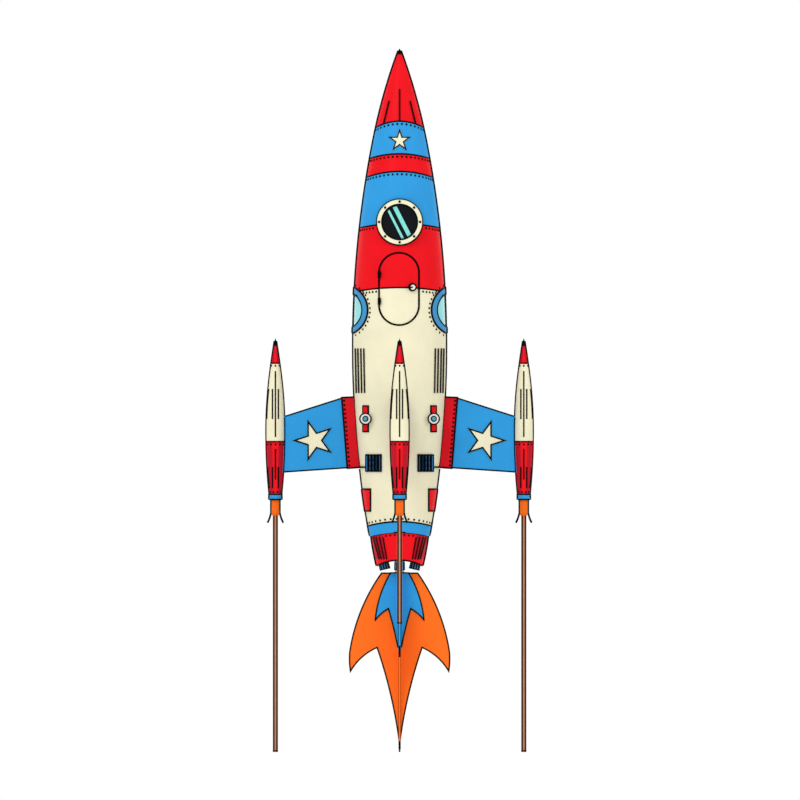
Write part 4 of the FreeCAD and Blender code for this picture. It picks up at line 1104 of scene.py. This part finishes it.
# ---- crimped side seams of the hull and pods, and the pods' ring lines ----
BEAD_WIDTH = 0.9 * MM
BEAD_PROUD = 0.74 * MM
BEAD_STEP = 0.8 * MM
POD_BEAD_WIDTH = 0.8 * MM
POD_BEAD_PROUD = 0.62 * MM
POD_BEAD_STEPS = 100
HULL_CAP = 2.3 * MM  # depth of the black dipped tips
POD_CAP = 2.7 * MM
CAP_PROUD = 0.5 * MM
SLEEVE_LINE = 2.0 * MM
SLEEVE_PROUD = 0.48 * MM
EXHAUST_CONE_Z = 119.3 * MM
SPUR_LINE = 1.0 * MM
SPUR_EDGE = [(r * MM, z * MM) for r, z in ((2.1, 119.8), (2.75, 117.4), (3.35, 115.8), (3.95, 114.6))]
COLLAR_PROUD = 0.15 * MM
POD_RIVET_R = 0.48 * MM
POD_RIVET_HEIGHT = 0.34 * MM
POD_NOSE_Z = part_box("left_pod_nose")[0].z
POD_TAIL_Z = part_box("left_pod_shell")[0].z
COLLAR_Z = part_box("pod_collars")[1].z
POD_RINGS = ((POD_NOSE_Z, 0.22 * MM, 0.0), (POD_TAIL_Z, 0.22 * MM, 0.0), (COLLAR_Z, 0.22 * MM, 0.0),
             (POD_FOOT + 0.25 * MM, 0.1 * MM, COLLAR_PROUD))  # height, proud, lift
POD_RIVETS = ((POD_NOSE_Z - 1.3 * MM, 6, 0.0), (POD_TAIL_Z - 1.4 * MM, 12, 0.0),
              (COLLAR_Z + 1.2 * MM, 10, 0.5))  # height, count, turn
exhaust_points = arrays("left_pod_exhaust")[0]
EXHAUST_R = float((exhaust_points[exhaust_points[:, 2] > POD_FOOT][:, 1]).max())
root_low, root_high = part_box("fin_root_plates")
side_tree = tree_of(BANDS + ["side_window_frames", "side_window_panes", "access_panels"])


def side_point(sign, z):
    """Point and normal on the hull's left or right side, over its windows and panels."""
    hit = side_tree.ray_cast(Vector((sign * RAY_REACH, 0.0, z)), Vector((-sign, 0, 0)), RAY_REACH)[0]
    if hit is None or hit.x * sign < 0:
        return None
    slope = float(np.interp(z, HULL.heights, HULL.slopes))
    return np.array(hit), unit(np.array([sign, 0.0, -slope]))


def cap(pile, body, axis, tip, depth, rise):
    """A pointed black dip over the end of a turned body."""
    foot = tip - depth
    skin_r = body.radius(foot)
    rows = []
    for z, radius in ((foot, skin_r - 0.05 * MM), (foot + 0.1 * MM, skin_r + CAP_PROUD),
                      (tip + rise, 0.04 * MM)):
        rows.append([(axis[0] + radius * c, axis[1] + radius * s, z) for c, s in turns(24)])
    sweep(pile, rows, False)


beads, pod_lines, pod_rivets = Pile(), Pile(), Pile()
for sign in (-1, 1):
    for low, high in ((SEAMS["tail_skirt"].side_z + 0.5 * MM, root_low.z - 0.3 * MM),
                      (root_high.z + 0.3 * MM, CAD_BOX[1].z - 0.6 * MM)):
        count = round((high - low) / BEAD_STEP)
        spots = [side_point(sign, low + (high - low) * i / count) for i in range(count + 1)]
        spots = [s for s in spots if s is not None]
        ribbon(beads, spots, width=BEAD_WIDTH, proud=BEAD_PROUD, depth=0.2 * MM)
for side in SIDES:
    axis = pod_axis(side)
    middle = np.array([*axis, 0.0])
    shift = middle - np.array([*POD.axis, 0.0])

    def on_pod(azimuth, z, lift=0.0):
        point, normal = POD.at(azimuth, z, lift)
        return point + shift, normal

    for sign in (-1, 1):
        out, aside = np.array([sign, 0.0, 0.0]), np.array([0.0, sign, 0.0])
        path = []
        for i in range(POD_BEAD_STEPS + 1):
            z = POD_FOOT + 0.2 * MM + (POD_TIP - 0.5 * MM - POD_FOOT) * i / POD_BEAD_STEPS
            path.append(on_pod(sign * math.pi / 2, z, COLLAR_PROUD if z < COLLAR_Z else 0.0))
        ribbon(beads, path, width=POD_BEAD_WIDTH, proud=POD_BEAD_PROUD, depth=0.15 * MM)
        sleeve = [(middle + out * EXHAUST_R + UP * z, out)
                  for z in (POD_FOOT, POD_FOOT - 3.0 * MM, EXHAUST_CONE_Z)]
        ribbon(beads, sleeve, width=SLEEVE_LINE, proud=SLEEVE_PROUD, depth=0.3 * MM)
        spine = [(middle + out * reach + UP * z, aside) for reach, z in SPUR_EDGE]
        ribbon(beads, spine, width=SPUR_LINE, proud=0.3 * MM, depth=0.3 * MM)
    for z, proud, lift in POD_RINGS:
        path = [on_pod(FULL * i / 48, z, lift) for i in range(48)]
        ribbon(pod_lines, path, closed=True, width=THIN_LINE, proud=proud)
    for z, count, start in POD_RIVETS:
        for i in range(count):
            rivet(pod_rivets, *on_pod(FULL * (i + start) / count, z), POD_RIVET_R, POD_RIVET_HEIGHT)
    cap(pod_lines, POD, axis, POD_TIP, POD_CAP, 1.1 * MM)
cap(beads, HULL, (0.0, 0.0), CAD_BOX[1].z, HULL_CAP, 0.6 * MM)
beads.piece("crimped_side_seams", "hull")
pod_lines.piece("pod_ring_lines", "hull")
pod_rivets.piece("pod_rivets", "hull", smooth=True)

# ---- nozzle flutes and mouths ----
NOZZLE_FLUTE = 0.72 * MM
FLUTE_RUNS = (0.0, 1.95 * MM, 3.9 * MM)
NOZZLE_MOUTH = 15.5 * MM  # round a mouth's outer rim, at least
FLUTE_STEP = 0.68 * MM
FLUTE_LEAN = 0.03  # a nozzle narrows upwards by this much of its run
nozzle_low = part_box("engine_nozzles")[0].z


def mouths(normals, centres):
    """The ring faces at the nozzles' mouths."""
    return (normals[:, 2] < -0.9) & (centres[:, 2] < nozzle_low + 1.35 * MM)


flutes = Pile()
for path in rim_loops("engine_nozzles", mouths, NOZZLE_MOUTH, FLUTE_STEP):
    points = np.array([p for p, _ in path])
    down = unit(np.array([n for _, n in path]).mean(0))
    outs = [unit(p - points.mean(0)) for p in points]
    mouth = [(p - down * 0.25 * MM, out) for p, out in zip(points, outs)]
    ribbon(flutes, mouth, closed=True, width=0.5 * MM)
    for p, out in list(zip(points, outs))[::2]:
        steps = [(p - down * run - out * run * FLUTE_LEAN, out) for run in FLUTE_RUNS]
        ribbon(flutes, steps, width=NOZZLE_FLUTE)
flutes.piece("nozzle_flutes", "hull")

# ---- hatch knob: its black ring and pointer ----
KNOB_LINE = 0.85 * MM
knob_points = arrays("hatch_knob")[0]
knob_centre = np.array(KNOB_JOINT["pos_m"])
knob_top = knob_centre + KNOB_OUT * ((knob_points - knob_centre) @ KNOB_OUT).max()
pointing = unit(np.cross(KNOB_OUT, UP))  # the pointer looks to the left at rest
ring_r = float(knob_points[:, 2].max() - knob_centre[2]) - KNOB_LINE / 2
knob_ring = [(knob_top + (pointing * c + UP * s) * ring_r, KNOB_OUT) for c, s in turns(40)]
pointer = [(knob_top + pointing * ring_r * share, KNOB_OUT) for share in (1.0, 0.5, 0.0)]
knob_lines = Pile()
ribbon(knob_lines, knob_ring, closed=True, width=KNOB_LINE, depth=0.3 * MM)
ribbon(knob_lines, pointer, width=KNOB_LINE, depth=0.3 * MM)
knob_lines.piece("hatch_knob_ring", "knob")

# ---- landing legs: a dark band round each foot ----
FOOT_BAND = 0.7 * MM
FOOT_BAND_RISE = 0.55 * MM
for side in SIDES:
    foot_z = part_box(side + "_leg")[0].z
    leg_points = arrays(side + "_leg")[0]
    foot_points = leg_points[leg_points[:, 2] < foot_z + 1.0 * MM]
    leg_r = float(abs(foot_points[:, 1 - FIN_WAYS[side][1]]).max())
    middle = np.array([*pod_axis(side), foot_z + FOOT_BAND_RISE])
    outs = [np.array([c, s, 0.0]) for c, s in turns(24)]
    foot_band, path = Pile(), [(middle + out * leg_r, out) for out in outs]
    ribbon(foot_band, path, closed=True, width=FOOT_BAND, proud=0.04 * MM)
    foot_band.piece(side + "_leg_foot_band", side + "_leg_body")

# ---- stage: floor, light, camera ----
FLOOR_R = 4.0
FLOOR_Z = -0.0002


def floor():
    nodes = Nodes("pale_floor")
    tone = nodes.mix(nodes.noise(6, 3.0), (0.86, 0.86, 0.85, 1.0), (0.9, 0.9, 0.89, 1.0))
    nodes.set(Base_Color=tone, Roughness=0.7, Specular_IOR_Level=0.2)
    mesh = bpy.data.meshes.new("floor")
    corners = [(FLOOR_R * c, FLOOR_R * s, FLOOR_Z) for c, s in turns(64)]
    mesh.from_pydata(corners, [], [tuple(range(len(corners)))])
    mesh.materials.append(nodes.material)
    piece = placed("floor", mesh)


def area_light(name, place, power):
    """A soft round light, 0.9 m across, aimed at the rocket's middle."""
    data = bpy.data.lights.new(name, "AREA")
    data.shape = "DISK"
    data.size = 0.9
    data.energy = power
    lamp = placed(name, data)
    lamp.location = place
    lamp.rotation_mode = "QUATERNION"
    aim = Vector((0.0, 0.0, CAD_BOX[1].z / 2)) - Vector(place)
    lamp.rotation_quaternion = aim.to_track_quat("-Z", "Y")


def world():
    made = bpy.data.worlds.new("studio")
    made.use_nodes = True
    background = made.node_tree.nodes["Background"]
    background.inputs["Color"].default_value = (1.0, 1.0, 1.0, 1.0)
    background.inputs["Strength"].default_value = 1.0
    bpy.context.scene.world = made


def camera():
    """Straight on from the front, without perspective."""
    data = bpy.data.cameras.new("camera")
    data.type = "ORTHO"
    data.ortho_scale = 0.4
    made = placed("camera", data)
    middle = (CAD_BOX[0] + CAD_BOX[1]) / 2
    made.location = (middle.x + 0.2 * MM, -1.5, CAD_BOX[1].z / 2 + 0.4 * MM)
    made.rotation_euler = (math.pi / 2, 0, 0)
    bpy.context.scene.camera = made


floor()
world()
area_light("key", (-0.7, -1.3, 1.1), 9.0)
area_light("fill", (1.2, -0.9, 0.6), 3.0)
area_light("back", (0.4, 1.4, 0.9), 5.0)
camera()
bpy.context.scene.view_settings.view_transform = "Standard"
